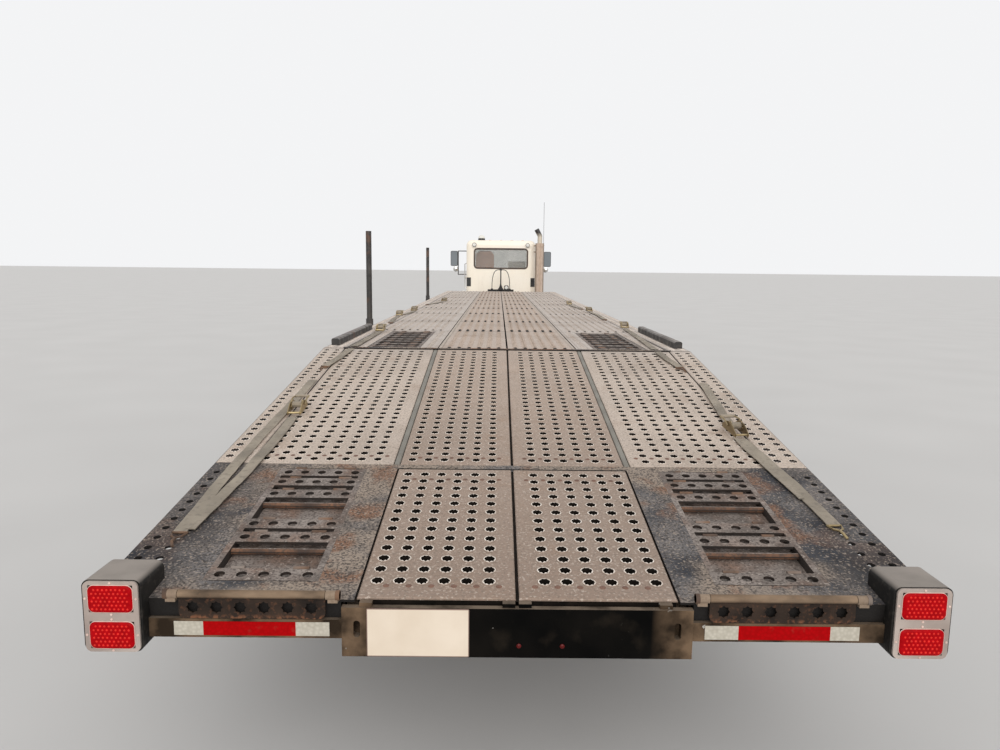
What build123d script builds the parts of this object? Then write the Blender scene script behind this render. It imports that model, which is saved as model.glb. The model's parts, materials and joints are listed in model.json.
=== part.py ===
from build123d import *
import os
from math import atan2, cos, degrees, hypot, pi, tan

# Articulated car transporter: a day-cab tractor and a long flat semi-trailer with a sloping tail.
# Millimetres. X to the right, Y forward, Z up from the ground. Stations run forward from the tail's edge.

# Trailer deck
TRAILER_LENGTH = 16150
DECK_HALF_WIDTH = 1285
DECK_TOP = 1330
TAIL_LENGTH = 3140
TAIL_EDGE_TOP = 910
ROW_SEAM = 1030
PANEL_DEPTH = 50
PANEL_SKIN = 6
PANEL_LIP = 8
PANEL_GAP = 10
LEVEL_PANELS = (1530, 1200, 1370, 1260, 1190, 1260, 1250, 1300, 1300)
LAST_PANEL_LEAST = 300
TAIL_CENTRE_PANEL = 480
FLAT_CENTRE_PANEL = 458
EDGE_STRIP = 150
SEAM_STRIP = 30
SEAM_BAR = (-15, 25)
PANEL_END_GAP = 4
FOLD_GAP = 16

# Perforations
HOLE_PITCH = 70
HOLE_RADIUS = 17
TIE_HOLE_RADIUS = 13
TIE_PITCH = 72
TIE_ROWS = (42, 112)
TIE_COUNT = 11
TIE_START = 235

# Trailer structure
BEAM_X = 500
BEAM_FLANGE = 140
BEAM_FLANGE_T = 16
BEAM_WEB = 12
BEAM_BOTTOM = 860
NECK_BACK = TRAILER_LENGTH - 3530
NECK_FRONT = TRAILER_LENGTH - 3000
CROSS_WIDTH = 60
CROSS_DEPTH = 80
CROSS_SPACING = 640
SIDE_RAIL_DEPTH = 150
SIDE_RAIL_T = 10
TAIL_BEAM_REAR_DEPTH = 120

# Tread pockets: a frame of bars with perforated treads and round rods across it
POCKET_IN = 620
POCKET_OUT = 985
POCKET_BAR = 22
POCKET_DEPTH = 36
TAIL_POCKET = (100, 1004)
POCKET_FLOOR = 4
FLAT_POCKET = (TAIL_LENGTH + 90, TAIL_LENGTH + 1460)
TREAD_WIDTH = 74
TREAD_T = 10
TREAD_HOLES = 5
ROD_RADIUS = 11
TAIL_TREADS = (140, 390, 491, 749, 864, 963)
TAIL_RODS = (315, 675)
FLAT_TREADS = tuple(FLAT_POCKET[0] + u for u in (80, 250, 460, 630, 820, 1000, 1180, 1290))

# Rear face
REAR_BEAM_WIDTH = 1050
REAR_BEAM_DEPTH = 110
REAR_BEAM_TOP = 894
REAR_BEAM_LOW = 740
REAR_FACE_S = -20
REAR_FACE_T = 12
WING = (-6, 10, 790, 849)
SLOT_LENGTH = 52
SLOT_WIDTH = 20
SLOT_PLACE = (480, 827)
LUG_X = (-454, -26, 23, 445)
LUG_SIZE = (38, 18, 12)
PANEL_REAR = 14
LAMP_BOX = (175, 156, 223)
LAMP_BOX_OUT = DECK_HALF_WIDTH - 5
LAMP_BOX_IN = LAMP_BOX_OUT - LAMP_BOX[0]
FLAP_INNER = 530
FLAP_ENDS = 87
FLAP_MARGIN = 42
FLAP_DROP = 74
FLAP_T = 8
FLAP_HOLES = 6
FLAP_HOLE_RADIUS = 19.5
FLAP_HOLE_RISE = 35
FLAP_CORNER = 20
HINGE_RADIUS = 9
HINGE_CLEAR = 0.3
BARREL_WALL = 4
BARREL_END_GAP = 2
HINGE_LENGTH = LAMP_BOX_IN - 51 - FLAP_INNER
FLAP_WIDTH = HINGE_LENGTH - FLAP_ENDS
HINGE_Z = 928
HINGE_S = -10
LAMP_BOX_BOTTOM = 761
LAMP_SIZE = (131, 83)
LAMP_LEVELS = (0.249, 0.751)
LAMP_PROUD = 12
BEZEL_T = 8
REAR_REACH = 50

# Edge bars and stake posts
GUARD_BAR = (TAIL_LENGTH + 140, TAIL_LENGTH + 1590)
GUARD_SIZE = (55, 54)
GUARD_OUT = DECK_HALF_WIDTH - 24
POST_STATIONS = (5300, 11500)
POST_RADIUS = 27
POST_FOOT = (70, 100, 60)
POST_HEIGHT = 905
POST_X = DECK_HALF_WIDTH + 40

# Straps on the deck edges
STRAP_WIDTH = 50
STRAP_T = 5
RATCHET = (70, 180, 50)
FOLD_BAR_RADIUS = 8
FOLD_BAR_Z = 1331

# Coupling
KINGPIN_S = TRAILER_LENGTH - 950
FIFTH_WHEEL_Z = 1120
KINGPIN_RADIUS = 25.4
KINGPIN_DROP = 83
COUPLER_T = 12
COUPLER_WIDTH = 900
COUPLER_CLEAR = 0.5

# Wheels: radius, width, spacing of twins, centre of the outer tyre
TRUCK_TYRE_R = 510
TRUCK_TYRE_W = 280
TRUCK_TWIN = 332
TRUCK_OUT = 1078
TRAILER_TYRE_R = 464
TRAILER_TYRE_W = 255
TRAILER_TWIN = 300
TRAILER_OUT = 1150
RIM_RADIUS = 286
RIM_T = 14
DISC_T = 18
HUB_RADIUS = 120
DRUM_RADIUS = 208
DRUM_T = 16
SPINDLE_RADIUS = 36
SPINDLE_CLEAR = 0.3
AXLE_RADIUS = 62
TRAILER_AXLES = (4080, 5330)
LANDING_S = TRAILER_LENGTH - 3670
LANDING_LEG = 120

# Tractor stations
# The tractor's stations are its own, with its fifth wheel at HITCH_S
HITCH_S = 15200
DRIVE_AXLES = (14390, 15710)
FRONT_AXLE_S = 20800
PINION_S = DRIVE_AXLES[1] + 250
SHAFT_GAP = 0.3
GEARBOX_S = (19700, 20420)
ENGINE_LENGTH = 910
FRAME_REAR_S = 13800
FRAME_FRONT_S = 21780
RAIL_X = 412
RAIL_HEIGHT = 270
RAIL_FLANGE = 80
RAIL_T = 10
RAIL_TOP = 970
FRONT_S = 22000

# Cab
CAB_HALF_WIDTH = 950
CAB_BACK_S = 18950
CAB_FRONT_S = 20360
CAB_FLOOR_Z = 1000
CAB_ROOF_Z = 2640
CAB_WALL = 45
CAB_CORNER = 150
ROOF_SPLIT_Z = 2440
ROOF_FRONT_S = 19960
COWL_Z = 1600
DOOR_REAR_S = 19150
DOOR_FRONT_S = 20150
DOOR_BOTTOM_Z = 1060
DOOR_TOP_Z = 2400
DOOR_GAP = 8
DOOR_HINGE = (CAB_HALF_WIDTH + 18, DOOR_FRONT_S + 6)
DOOR_HINGE_Z = (1240, 1640)
DOOR_PIN = 8
DOOR_KNUCKLE = (14, 40)
DOOR_PIN_CLEAR = 0.3
WINDOW_SILL_Z = 1760
REAR_WINDOW = (CAB_HALF_WIDTH - 230, 1885, 2400)
SCREEN_MARGIN = 90
STEERING_TILT = 40
STEERING_R = 215
GLASS_T = 6

# Steering
STEER_X = 860
STEER_R = 45
KNUCKLE_HEIGHT = 190
STEER_PIN = 22
KINGPIN_BORE = 22.3

# Mast for the air lines behind the cab, and the lines' routes as (x, station, height)
DECK_PLATE_T = 14
POGO_S = 18560
POGO_TOP = 1880
POGO_BAR_TOP = 1300
HOSE_RADIUS = 9
HOSE_LEFT = (
    (-34, 18560, 1840),
    (-105, 18560, 1840),
    (-165, 18557, 1791),
    (-205, 18551, 1700),
    (-228, 18549, 1580),
    (-236, 18556, 1440),
    (-236, 18556, 1300),
)
HOSE_RIGHT = (
    (34, 18560, 1840),
    (110, 18560, 1840),
    (172, 18564, 1788),
    (213, 18571, 1690),
    (236, 18573, 1565),
    (243, 18564, 1430),
    (243, 18564, 1300),
)

# Hood
HOOD_REAR_S = 20386
HOOD_FRONT_S = 21870
HOOD_BOTTOM_Z = 800
HOOD_SKIN = 14
HOOD_PIVOT = (21930, 815)
HOOD_PIN = 10
HOOD_PIN_CLEAR = 0.3
HOOD_ARM_X = (310, 350)
HEADLAMP_X = (800, 1080)
HEADLAMP_Z = (870, 1030)
HEADLAMP_FIT = 0.3
MIRROR_S = 19962
AERIAL_TOP = 3750
FENDER_OUT = 1212
FENDER_TOP_Z = 1190
ARCH_RADIUS = 590
BUMPER = (460, 780)

MIDDLE = (FRONT_S - REAR_REACH) / 2
SLOPE = atan2(DECK_TOP - TAIL_EDGE_TOP, TAIL_LENGTH)
TAIL_RUN = hypot(DECK_TOP - TAIL_EDGE_TOP, TAIL_LENGTH)


def level_seams():
    """Stations where the level deck's panels meet; the last panel takes what is left."""
    seams = [TAIL_LENGTH]
    for length in LEVEL_PANELS:
        if seams[-1] + length < TRAILER_LENGTH - LAST_PANEL_LEAST:
            seams.append(seams[-1] + length)
    return seams + [TRAILER_LENGTH]


FLAT_SEAMS = level_seams()


def along(station):
    return station - MIDDLE


def block(x0, x1, s0, s1, z0, z1):
    size = (x1 - x0, s1 - s0, z1 - z0)
    return Pos((x0 + x1) / 2, along((s0 + s1) / 2), (z0 + z1) / 2) * Box(*size)


def local_block(x0, x1, u0, u1, w0, w1):
    return Pos((x0 + x1) / 2, (u0 + u1) / 2, (w0 + w1) / 2) * Box(x1 - x0, u1 - u0, w1 - w0)


def side_plate(points, x0, x1):
    """A plate cut to an outline of (station, height) points, from x0 to x1."""
    outline = Polygon(*[(along(s), z) for s, z in points], align=None)
    return extrude(Plane.YZ.offset(x0) * outline, x1 - x0, dir=(1, 0, 0))


def cross_tube(radius, x0, x1, s, z):
    return Pos((x0 + x1) / 2, along(s), z) * Rot(0, 90, 0) * Cylinder(radius, x1 - x0)


def upright(radius, z0, z1, x, s):
    return Pos(x, along(s), (z0 + z1) / 2) * Cylinder(radius, z1 - z0)


def long_tube(radius, s0, s1, x, z):
    return Pos(x, along((s0 + s1) / 2), z) * Rot(90, 0, 0) * Cylinder(radius, s1 - s0)


def other_side(shape):
    return mirror(shape, about=Plane.YZ)


def both(shape):
    return [shape, other_side(shape)]


def joined(pieces):
    pieces = list(pieces)
    return pieces[0] + pieces[1:] if len(pieces) > 1 else pieces[0]


def on_tail(shape):
    """Lays a piece made on a level plane, with its rear edge at zero, onto the sloping tail."""
    return Pos(0, along(0), TAIL_EDGE_TOP) * Rot(degrees(SLOPE), 0, 0) * shape


def save(name, *shapes):
    solids = []
    for shape in shapes:
        solids.extend(shape.solids())
    export_step(Compound(solids), f"parts/{name}.step")


def save_truck(name, *shapes):
    """Saves a piece of the tractor, brought to where its fifth wheel is under the trailer's kingpin."""
    save(name, *[Pos(0, KINGPIN_S - HITCH_S, 0) * shape for shape in shapes])


def round_holes(radius, depth, places, z):
    return [Pos(x, y, z) * Cylinder(radius, depth) for x, y in places]


def panel(x0, x1, u0, u1, top):
    """A pressed deck panel: a flat skin with turned-down lips all round."""
    outer = local_block(x0, x1, u0, u1, top - PANEL_DEPTH, top)
    hollow = local_block(
        x0 + PANEL_LIP, x1 - PANEL_LIP, u0 + PANEL_LIP, u1 - PANEL_LIP, top - PANEL_DEPTH, top - PANEL_SKIN
    )
    return outer - hollow


def deck_panel(x0, x1, s0, s1):
    return Pos(0, along(0), 0) * panel(x0, x1, s0, s1, DECK_TOP)


def tail_height(station):
    return TAIL_EDGE_TOP + station * tan(SLOPE)


# Trailer frame


def beam_outline():
    """Main beam side view: top line and bottom line as (station, height)."""
    under = PANEL_DEPTH / cos(SLOPE)
    rear = REAR_FACE_S + REAR_BEAM_DEPTH + 0.3
    neck_top = DECK_TOP - PANEL_DEPTH
    top = [
        (rear, tail_height(rear) - under),
        (TAIL_LENGTH, DECK_TOP - under),
        (TAIL_LENGTH + 1, neck_top),
        (TRAILER_LENGTH - 60, neck_top),
    ]
    low = FIFTH_WHEEL_Z + COUPLER_T + COUPLER_CLEAR
    bottom = [
        (TRAILER_LENGTH - 60, low),
        (NECK_FRONT, low),
        (NECK_BACK, BEAM_BOTTOM),
        (TAIL_LENGTH, BEAM_BOTTOM),
        (rear, top[0][1] - TAIL_BEAM_REAR_DEPTH),
    ]
    return top, bottom


def main_beam():
    """One I beam in four straight lengths, so that each keeps its own depth."""
    whole = beam_section()
    cuts = (-1000, TAIL_LENGTH, NECK_BACK, NECK_FRONT, TRAILER_LENGTH)
    return [whole & block(0, 1000, s0, s1, 0, 2000) for s0, s1 in zip(cuts, cuts[1:])]


def beam_section():
    top, bottom = beam_outline()
    web = side_plate(top + bottom, BEAM_X - BEAM_WEB / 2, BEAM_X + BEAM_WEB / 2)
    lower_top = [(s, z - BEAM_FLANGE_T) for s, z in top]
    raised = [(s, z + BEAM_FLANGE_T) for s, z in bottom]
    edges = (BEAM_X - BEAM_FLANGE / 2, BEAM_X + BEAM_FLANGE / 2)
    upper = side_plate(top + lower_top[::-1], *edges)
    lower = side_plate(bottom + raised[::-1], *edges)
    return web + upper + lower


def cross_members():
    top = DECK_TOP - PANEL_DEPTH
    width = DECK_HALF_WIDTH - SIDE_RAIL_T
    count = int((TRAILER_LENGTH - 60 - TAIL_LENGTH) / CROSS_SPACING)
    span = (TRAILER_LENGTH - 60 - CROSS_WIDTH - TAIL_LENGTH) / count
    bars = []
    for i in range(count + 1):
        s = TAIL_LENGTH + i * span
        bars.append(block(-width, width, s, s + CROSS_WIDTH, top - CROSS_DEPTH, top))
    return bars


def kingpin_plate():
    z0 = FIFTH_WHEEL_Z + COUPLER_CLEAR
    plate = block(-COUPLER_WIDTH / 2, COUPLER_WIDTH / 2, KINGPIN_S - 480, KINGPIN_S + 480, z0, z0 + COUPLER_T)
    pin = upright(KINGPIN_RADIUS, z0 - KINGPIN_DROP, z0, 0, KINGPIN_S)
    collar = upright(KINGPIN_RADIUS + 10, z0 - KINGPIN_DROP, z0 - KINGPIN_DROP + 16, 0, KINGPIN_S)
    return plate + pin + collar


def make_trailer_frame():
    """Two I beams, with the cross members butted against them and the kingpin plate under the neck."""
    beams = [length for part in main_beam() for length in both(part)]
    save("main_beams", *beams)
    bars = [bar - beams for bar in cross_members()]
    save("cross_members", *bars, kingpin_plate())


def make_side_rails():
    """Channel rails along the level deck, open side inwards."""
    top, low = DECK_TOP, DECK_TOP - SIDE_RAIL_DEPTH
    out, inner = DECK_HALF_WIDTH, DECK_HALF_WIDTH - EDGE_STRIP
    web = block(out - SIDE_RAIL_T, out, TAIL_LENGTH, TRAILER_LENGTH, low, top)
    flange = block(inner, out, TAIL_LENGTH, TRAILER_LENGTH, top - SIDE_RAIL_T, top)
    foot = block(out - 60, out, TAIL_LENGTH, TRAILER_LENGTH, low, low + SIDE_RAIL_T)
    lip_depth = PANEL_DEPTH
    lip = block(inner, inner + SIDE_RAIL_T, TAIL_LENGTH, TRAILER_LENGTH, top - lip_depth, top)
    save("side_rails", *both(web + flange + foot + lip))


# Sloping tail


def tie_holes(u0):
    out = DECK_HALF_WIDTH
    places = [(out - x, u0 + i * TIE_PITCH) for x in TIE_ROWS for i in range(TIE_COUNT)]
    return round_holes(TIE_HOLE_RADIUS, 60, places, 0)


def tail_side():
    """Right-hand half of the tail's fixed plating, level, from the seam strip to the outer edge."""
    out = DECK_HALF_WIDTH
    strip_in = out - EDGE_STRIP
    skin = 8
    floor = local_block(TAIL_CENTRE_PANEL + PANEL_GAP, out, 0, ROW_SEAM, -skin, 0)
    strip = local_block(strip_in, out, ROW_SEAM, TAIL_RUN - 1, -skin, 0)
    edge = local_block(out - SIDE_RAIL_T, out, 0, TAIL_RUN - 1, -110, 0)
    lip = local_block(strip_in, strip_in + SIDE_RAIL_T, ROW_SEAM, TAIL_RUN - 1, -PANEL_DEPTH, 0)
    rear = local_block(REAR_BEAM_WIDTH / 2 + 5, out, 0, 12, -60, 0)
    pocket = local_block(POCKET_IN, POCKET_OUT, *TAIL_POCKET, -20, 10)
    plating = floor + [strip, edge, lip, rear]
    plating = plating - pocket
    return plating - tie_holes(TIE_START)


def make_tail_frame():
    """Plated sides of the tail, carried on cross members between the side plates."""
    side = tail_side()
    out = DECK_HALF_WIDTH - SIDE_RAIL_T
    bars = []
    for u in (ROW_SEAM - 35, 2000, TAIL_RUN - 90):
        bars.append(local_block(-out, out, u, u + 70, -110, -PANEL_DEPTH))
    frame = side + other_side(side)
    # The row seam's strip ties both sides together over its cross member.
    seam = local_block(-out, out, ROW_SEAM + SEAM_BAR[0], ROW_SEAM + SEAM_BAR[1], -PANEL_DEPTH, 0)
    inner = REAR_BEAM_WIDTH / 2 + 5
    header = local_block(inner, out, 20, 80, -110, -PANEL_DEPTH)
    legs = [local_block(x, x + 60, 12, 80, -PANEL_DEPTH, -8) for x in (540, 1040)]
    half = [header] + legs
    frame = frame + bars + [seam] + half + [other_side(piece) for piece in half]
    reach = DECK_HALF_WIDTH - EDGE_STRIP + SIDE_RAIL_T
    fold_bar = cross_tube(FOLD_BAR_RADIUS, -reach, reach, TAIL_LENGTH - 6, FOLD_BAR_Z)
    frame = on_tail(frame) + both(flap_hinge()) + [fold_bar]
    corner = block(LAMP_BOX_OUT - LAMP_BOX[0], 2000, -200, LAMP_BOX[1] - REAR_REACH + BEZEL_T, 0, 2000)
    level = block(-2000, 2000, TAIL_LENGTH, TAIL_LENGTH + 500, 0, 2000)
    frame = frame - [beam_clearance(), other_side(beam_clearance()), corner, other_side(corner), level]
    save("tail_frame", frame)


def beam_clearance():
    """The main beam's own space, cut out of whatever crosses it."""
    top, bottom = beam_outline()
    grown = 0.3
    return side_plate(
        [(s, z + grown) for s, z in top] + [(s, z - grown) for s, z in bottom],
        BEAM_X - BEAM_FLANGE / 2 - grown,
        BEAM_X + BEAM_FLANGE / 2 + grown,
    )


def make_centre_panels():
    half_gap = PANEL_GAP / 2
    tail = []
    for u0, u1, width in (
        (PANEL_REAR, ROW_SEAM + SEAM_BAR[0] - PANEL_END_GAP, TAIL_CENTRE_PANEL),
        (ROW_SEAM + SEAM_BAR[1] + PANEL_END_GAP, TAIL_RUN - FOLD_GAP, TAIL_CENTRE_PANEL),
    ):
        tail += both(panel(half_gap, half_gap + width, u0, u1, 0))
    flat = []
    for s0, s1 in zip(FLAT_SEAMS, FLAT_SEAMS[1:]):
        flat += both(deck_panel(half_gap, half_gap + FLAT_CENTRE_PANEL, s0 + 4, s1 - 4))
    save("centre_panels", *[on_tail(p) for p in tail], *flat)


def row_two_span():
    return ROW_SEAM + SEAM_BAR[1] + PANEL_END_GAP, TAIL_RUN - FOLD_GAP


def make_outer_panels():
    inner = PANEL_GAP / 2 + FLAT_CENTRE_PANEL + SEAM_STRIP
    outer = DECK_HALF_WIDTH - EDGE_STRIP - 2
    tail_inner = PANEL_GAP / 2 + TAIL_CENTRE_PANEL + SEAM_STRIP
    tail = both(on_tail(panel(tail_inner, outer, *row_two_span(), 0)))
    flat = []
    for s0, s1 in zip(FLAT_SEAMS, FLAT_SEAMS[1:]):
        plate = deck_panel(inner, outer, s0 + 4, s1 - 4)
        if s0 == TAIL_LENGTH:
            plate = plate - block(POCKET_IN, POCKET_OUT, *FLAT_POCKET, DECK_TOP - 60, DECK_TOP + 10)
        flat += both(plate)
    save("outer_panels", *tail, *flat, *seam_strips())


def seam_strip_bar(inner, width, u0, u1):
    return local_block(inner, inner + width, u0, u1, -PANEL_DEPTH, -2)


def seam_strips():
    """Flat bars between the centre and outer panels."""
    clear = 3
    tail_inner = PANEL_GAP / 2 + TAIL_CENTRE_PANEL + clear
    flat_inner = PANEL_GAP / 2 + FLAT_CENTRE_PANEL + clear
    width = SEAM_STRIP - 2 * clear
    tail = on_tail(seam_strip_bar(tail_inner, width, *row_two_span()))
    bar = seam_strip_bar(flat_inner, width, TAIL_LENGTH + 4, TRAILER_LENGTH - 4)
    flat = Pos(0, along(0), DECK_TOP) * bar
    return both(tail) + both(flat)


def tread(u, top, width):
    """One perforated cross tread with a row of round holes."""
    plate = local_block(POCKET_IN, POCKET_OUT, u - width / 2, u + width / 2, top - TREAD_T, top)
    middle = (POCKET_IN + POCKET_OUT) / 2
    start = middle - HOLE_PITCH * (TREAD_HOLES - 1) / 2
    places = [(start + i * HOLE_PITCH, u) for i in range(TREAD_HOLES)]
    return plate - round_holes(HOLE_RADIUS, 4 * TREAD_T, places, top)


def tread_grid(span, treads, rods, top):
    """Treads and rods joined by the two side bars that carry them, over a closed tray."""
    clear = 0.3
    u0, u1 = span[0] + clear, span[1] - clear
    low = top - POCKET_DEPTH
    inner = local_block(POCKET_IN + clear, POCKET_IN + POCKET_BAR, u0, u1, low, top)
    outer = local_block(POCKET_OUT - POCKET_BAR, POCKET_OUT - clear, u0, u1, low, top)
    window = local_block(POCKET_IN + clear, POCKET_OUT - clear, u0, u1, low - 50, top + 50)
    tray = local_block(POCKET_IN + POCKET_BAR, POCKET_OUT - POCKET_BAR, u0, u1, low, low + POCKET_FLOOR)
    grid = inner + [outer, tray] + [tread(u, top, TREAD_WIDTH) & window for u in treads]
    bars = []
    for u in rods:
        rod = Pos((POCKET_IN + POCKET_OUT) / 2, u, top - 16) * Rot(0, 90, 0)
        bars.append(rod * Cylinder(ROD_RADIUS, POCKET_OUT - POCKET_IN - POCKET_BAR))
    return grid + bars if bars else grid


def make_tread_grids():
    tail = on_tail(tread_grid(TAIL_POCKET, TAIL_TREADS, TAIL_RODS, 0))
    flat = Pos(0, along(0), DECK_TOP) * tread_grid(FLAT_POCKET, FLAT_TREADS, (), 0)
    save("tread_grids", *both(tail), *both(flat))


# Rear face


def make_rear_beam():
    """Cross beam under the panels' rear edge, with a taller face plate, and a wing to each lamp box."""
    half = REAR_BEAM_WIDTH / 2
    rear, low = REAR_FACE_S, REAR_BEAM_LOW
    face = block(-half, half, rear, rear + REAR_FACE_T, low, REAR_BEAM_TOP)
    body = block(-half, half, rear, rear + REAR_BEAM_DEPTH, low, REAR_BEAM_TOP)
    slot = Pos(SLOT_PLACE[0], along(rear), SLOT_PLACE[1]) * Box(SLOT_WIDTH, 60, SLOT_LENGTH)
    slot = fillet(slot.edges().filter_by(Axis.Y), SLOT_WIDTH / 2 - 1)
    wide, deep, rise = LUG_SIZE
    front = rear + REAR_FACE_T
    lugs = []
    for x in LUG_X:
        lugs.append(block(x - wide / 2, x + wide / 2, front - 4, front + deep, REAR_BEAM_TOP - 30, REAR_BEAM_TOP + rise))
    under_panels = on_tail(local_block(-2000, 2000, 0.3, 400, -PANEL_DEPTH - 0.3, 400))
    beam = face + (body - under_panels) + lugs
    beam = beam - [slot, other_side(slot)]
    s0, s1, z0, z1 = WING
    wing = block(half, LAMP_BOX_OUT - LAMP_BOX[0], s0, s1, z0, z1)
    save("rear_beam", beam + [wing, other_side(wing)])


def hinge_line():
    return FLAP_INNER + HINGE_LENGTH / 2


def barrel_radius():
    return HINGE_RADIUS + HINGE_CLEAR + BARREL_WALL


def flap_hinge():
    """Long hinge pin across the rear edge, with a fixed barrel and its ear at each end."""
    middle = hinge_line()
    left, right = middle - HINGE_LENGTH / 2, middle + HINGE_LENGTH / 2
    inner, outer = middle - FLAP_WIDTH / 2 - BARREL_END_GAP, middle + FLAP_WIDTH / 2 + BARREL_END_GAP
    pieces = [cross_tube(HINGE_RADIUS, left, right, HINGE_S, HINGE_Z)]
    for x0, x1 in ((left, inner), (outer, right)):
        pieces.append(cross_tube(barrel_radius(), x0, x1, HINGE_S, HINGE_Z))
        pieces.append(block(x0 + 6, x1 - 6, HINGE_S - 8, 8, HINGE_Z - 22, HINGE_Z))
    return joined(pieces)


def make_flaps():
    """A perforated flap on each side that hangs from its hinge pin."""
    middle = hinge_line()
    left, right = middle - FLAP_WIDTH / 2, middle + FLAP_WIDTH / 2
    barrel = cross_tube(barrel_radius(), left, right, HINGE_S, HINGE_Z)
    leaf = block(left, right, HINGE_S - FLAP_T / 2, HINGE_S + FLAP_T / 2, HINGE_Z - FLAP_DROP, HINGE_Z)
    low_edges = leaf.edges().filter_by(Axis.Y).group_by(Axis.Z)[0]
    leaf = fillet(low_edges, FLAP_CORNER)
    pitch = (FLAP_WIDTH - 2 * FLAP_MARGIN) / (FLAP_HOLES - 1)
    start = left + FLAP_MARGIN
    z = HINGE_Z - FLAP_DROP + FLAP_HOLE_RISE
    holes = []
    for i in range(FLAP_HOLES):
        centre = Pos(start + i * pitch, along(HINGE_S), z)
        holes.append(centre * Rot(90, 0, 0) * Cylinder(FLAP_HOLE_RADIUS, 2 * FLAP_T))
    bore = cross_tube(HINGE_RADIUS + HINGE_CLEAR, left - 5, right + 5, HINGE_S, HINGE_Z)
    flap = barrel + leaf
    flap = flap - holes - bore
    save("flap_right", flap)
    save("flap_left", other_side(flap))


def make_lamp_boxes():
    width, depth, height = LAMP_BOX
    x0 = LAMP_BOX_OUT - width
    z0, z1 = LAMP_BOX_BOTTOM, LAMP_BOX_BOTTOM + height
    rear = -REAR_REACH + BEZEL_T
    shell = block(x0, LAMP_BOX_OUT, rear, rear + depth, z0, z1)
    shell = fillet(shell.edges().filter_by(Axis.Y), 24)
    bezel = block(x0 + 7, LAMP_BOX_OUT - 7, -REAR_REACH, rear, z0 + 3, z1 - 3)
    bezel = fillet(bezel.edges().filter_by(Axis.Y), 18)
    body = shell + bezel
    lenses = []
    for level in LAMP_LEVELS:
        centre = Pos((x0 + LAMP_BOX_OUT) / 2, along(-REAR_REACH), z0 + height * level)
        body = body - centre * Box(LAMP_SIZE[0], 2 * LAMP_PROUD, LAMP_SIZE[1])
        lens = centre * Pos(0, LAMP_PROUD / 2 + 2, 0) * Box(LAMP_SIZE[0], LAMP_PROUD - 4, LAMP_SIZE[1])
        lenses.append(lens)
    save("lamp_boxes", *both(body))
    save("tail_lamps", *lenses, *[other_side(lens) for lens in lenses])


# Edge fittings


def make_edge_bars():
    """Square wheel guards along the deck's edges, and two stake posts on the left side rail."""
    s0, s1 = GUARD_BAR
    wide, tall = GUARD_SIZE
    guard = block(GUARD_OUT - wide, GUARD_OUT, s0, s1, DECK_TOP, DECK_TOP + tall)
    guard = chamfer(guard.edges().filter_by(Axis.Y).group_by(Axis.Z)[-1], 9)
    posts = []
    long, tall, sleeve = POST_FOOT
    for s in POST_STATIONS:
        post = upright(POST_RADIUS, DECK_TOP - tall, DECK_TOP + POST_HEIGHT, -POST_X, s)
        foot = block(-POST_X - 34, -DECK_HALF_WIDTH, s - long / 2, s + long / 2, DECK_TOP - tall, DECK_TOP - 5)
        collar = upright(POST_RADIUS + 8, DECK_TOP - 5, DECK_TOP + sleeve, -POST_X, s)
        posts.append(post + foot + collar)
    save("edge_bars", *both(guard), *posts)


# Tie-down straps: side, on the tail or not, (inset from the deck's edge, station) points from hook to far end, and
# the ratchet's place if it has one
RIGHT, LEFT = 1, -1
STRAPS = (
    (LEFT, True, ((113, 400), (101, 900), (105, 1400), (119, 1900), (125, 2330)), None),
    (LEFT, True, ((135, 420), (171, 900), (187, 1330), (183, 1640)), (181, 1740)),
    (RIGHT, True, ((123, 500), (135, 850), (173, 1250), (187, 1390)), (188, 1480)),
    (RIGHT, True, ((185, 1572), (155, 1950), (125, 2340)), None),
    (LEFT, True, ((127, 2640), (165, 2850), (205, 3110)), None),
    (LEFT, False, ((205, 3170), (200, 3900), (192, 4400)), (190, 4492)),
    (RIGHT, True, ((183, 2700), (215, 2900), (243, 3110)), None),
    (RIGHT, False, ((243, 3170), (190, 4100), (145, 5030)), (137, 5122)),
    (LEFT, False, ((135, 5500), (95, 6100), (85, 6520)), (83, 6612)),
    (LEFT, False, ((105, 6800), (135, 7200), (143, 7510)), (145, 7602)),
    (RIGHT, False, ((165, 6300), (135, 7100), (153, 7740)), (155, 7832)),
    (RIGHT, False, ((185, 8500), (225, 9100), (240, 9650)), (242, 9742)),
    (LEFT, False, ((155, 9300), (265, 9900), (320, 10340)), (327, 10432)),
)


def strap(points, buckle):
    """Flat webbing along a line of points on a level plane, with a plain block for its ratchet."""
    pieces = []
    for (xa, sa), (xb, sb) in zip(points, points[1:]):
        length = hypot(xb - xa, sb - sa)
        turn = degrees(atan2(-(xb - xa), sb - sa))
        flat = Pos(0, length / 2, STRAP_T / 2 + 0.3) * Box(STRAP_WIDTH, length + 6, STRAP_T)
        pieces.append(Pos(xa, sa, 0) * Rot(0, 0, turn) * flat)
    if buckle:
        block_at = Pos(0, 0, RATCHET[2] / 2 + 0.3) * Box(*RATCHET)
        pieces.append(Pos(buckle[0], buckle[1], 0) * Rot(0, 0, turn) * block_at)
    return joined(pieces)


def make_straps():
    solids = []
    for side, tilt, points, buckle in STRAPS:
        line = [(side * (DECK_HALF_WIDTH - inset), s) for inset, s in points]
        place = (side * (DECK_HALF_WIDTH - buckle[0]), buckle[1]) if buckle else None
        piece = strap(line, place)
        solids.append(on_tail(piece) if tilt else Pos(0, along(0), DECK_TOP) * piece)
    save("tie_down_straps", *solids)


# Running gear of the trailer


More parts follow.
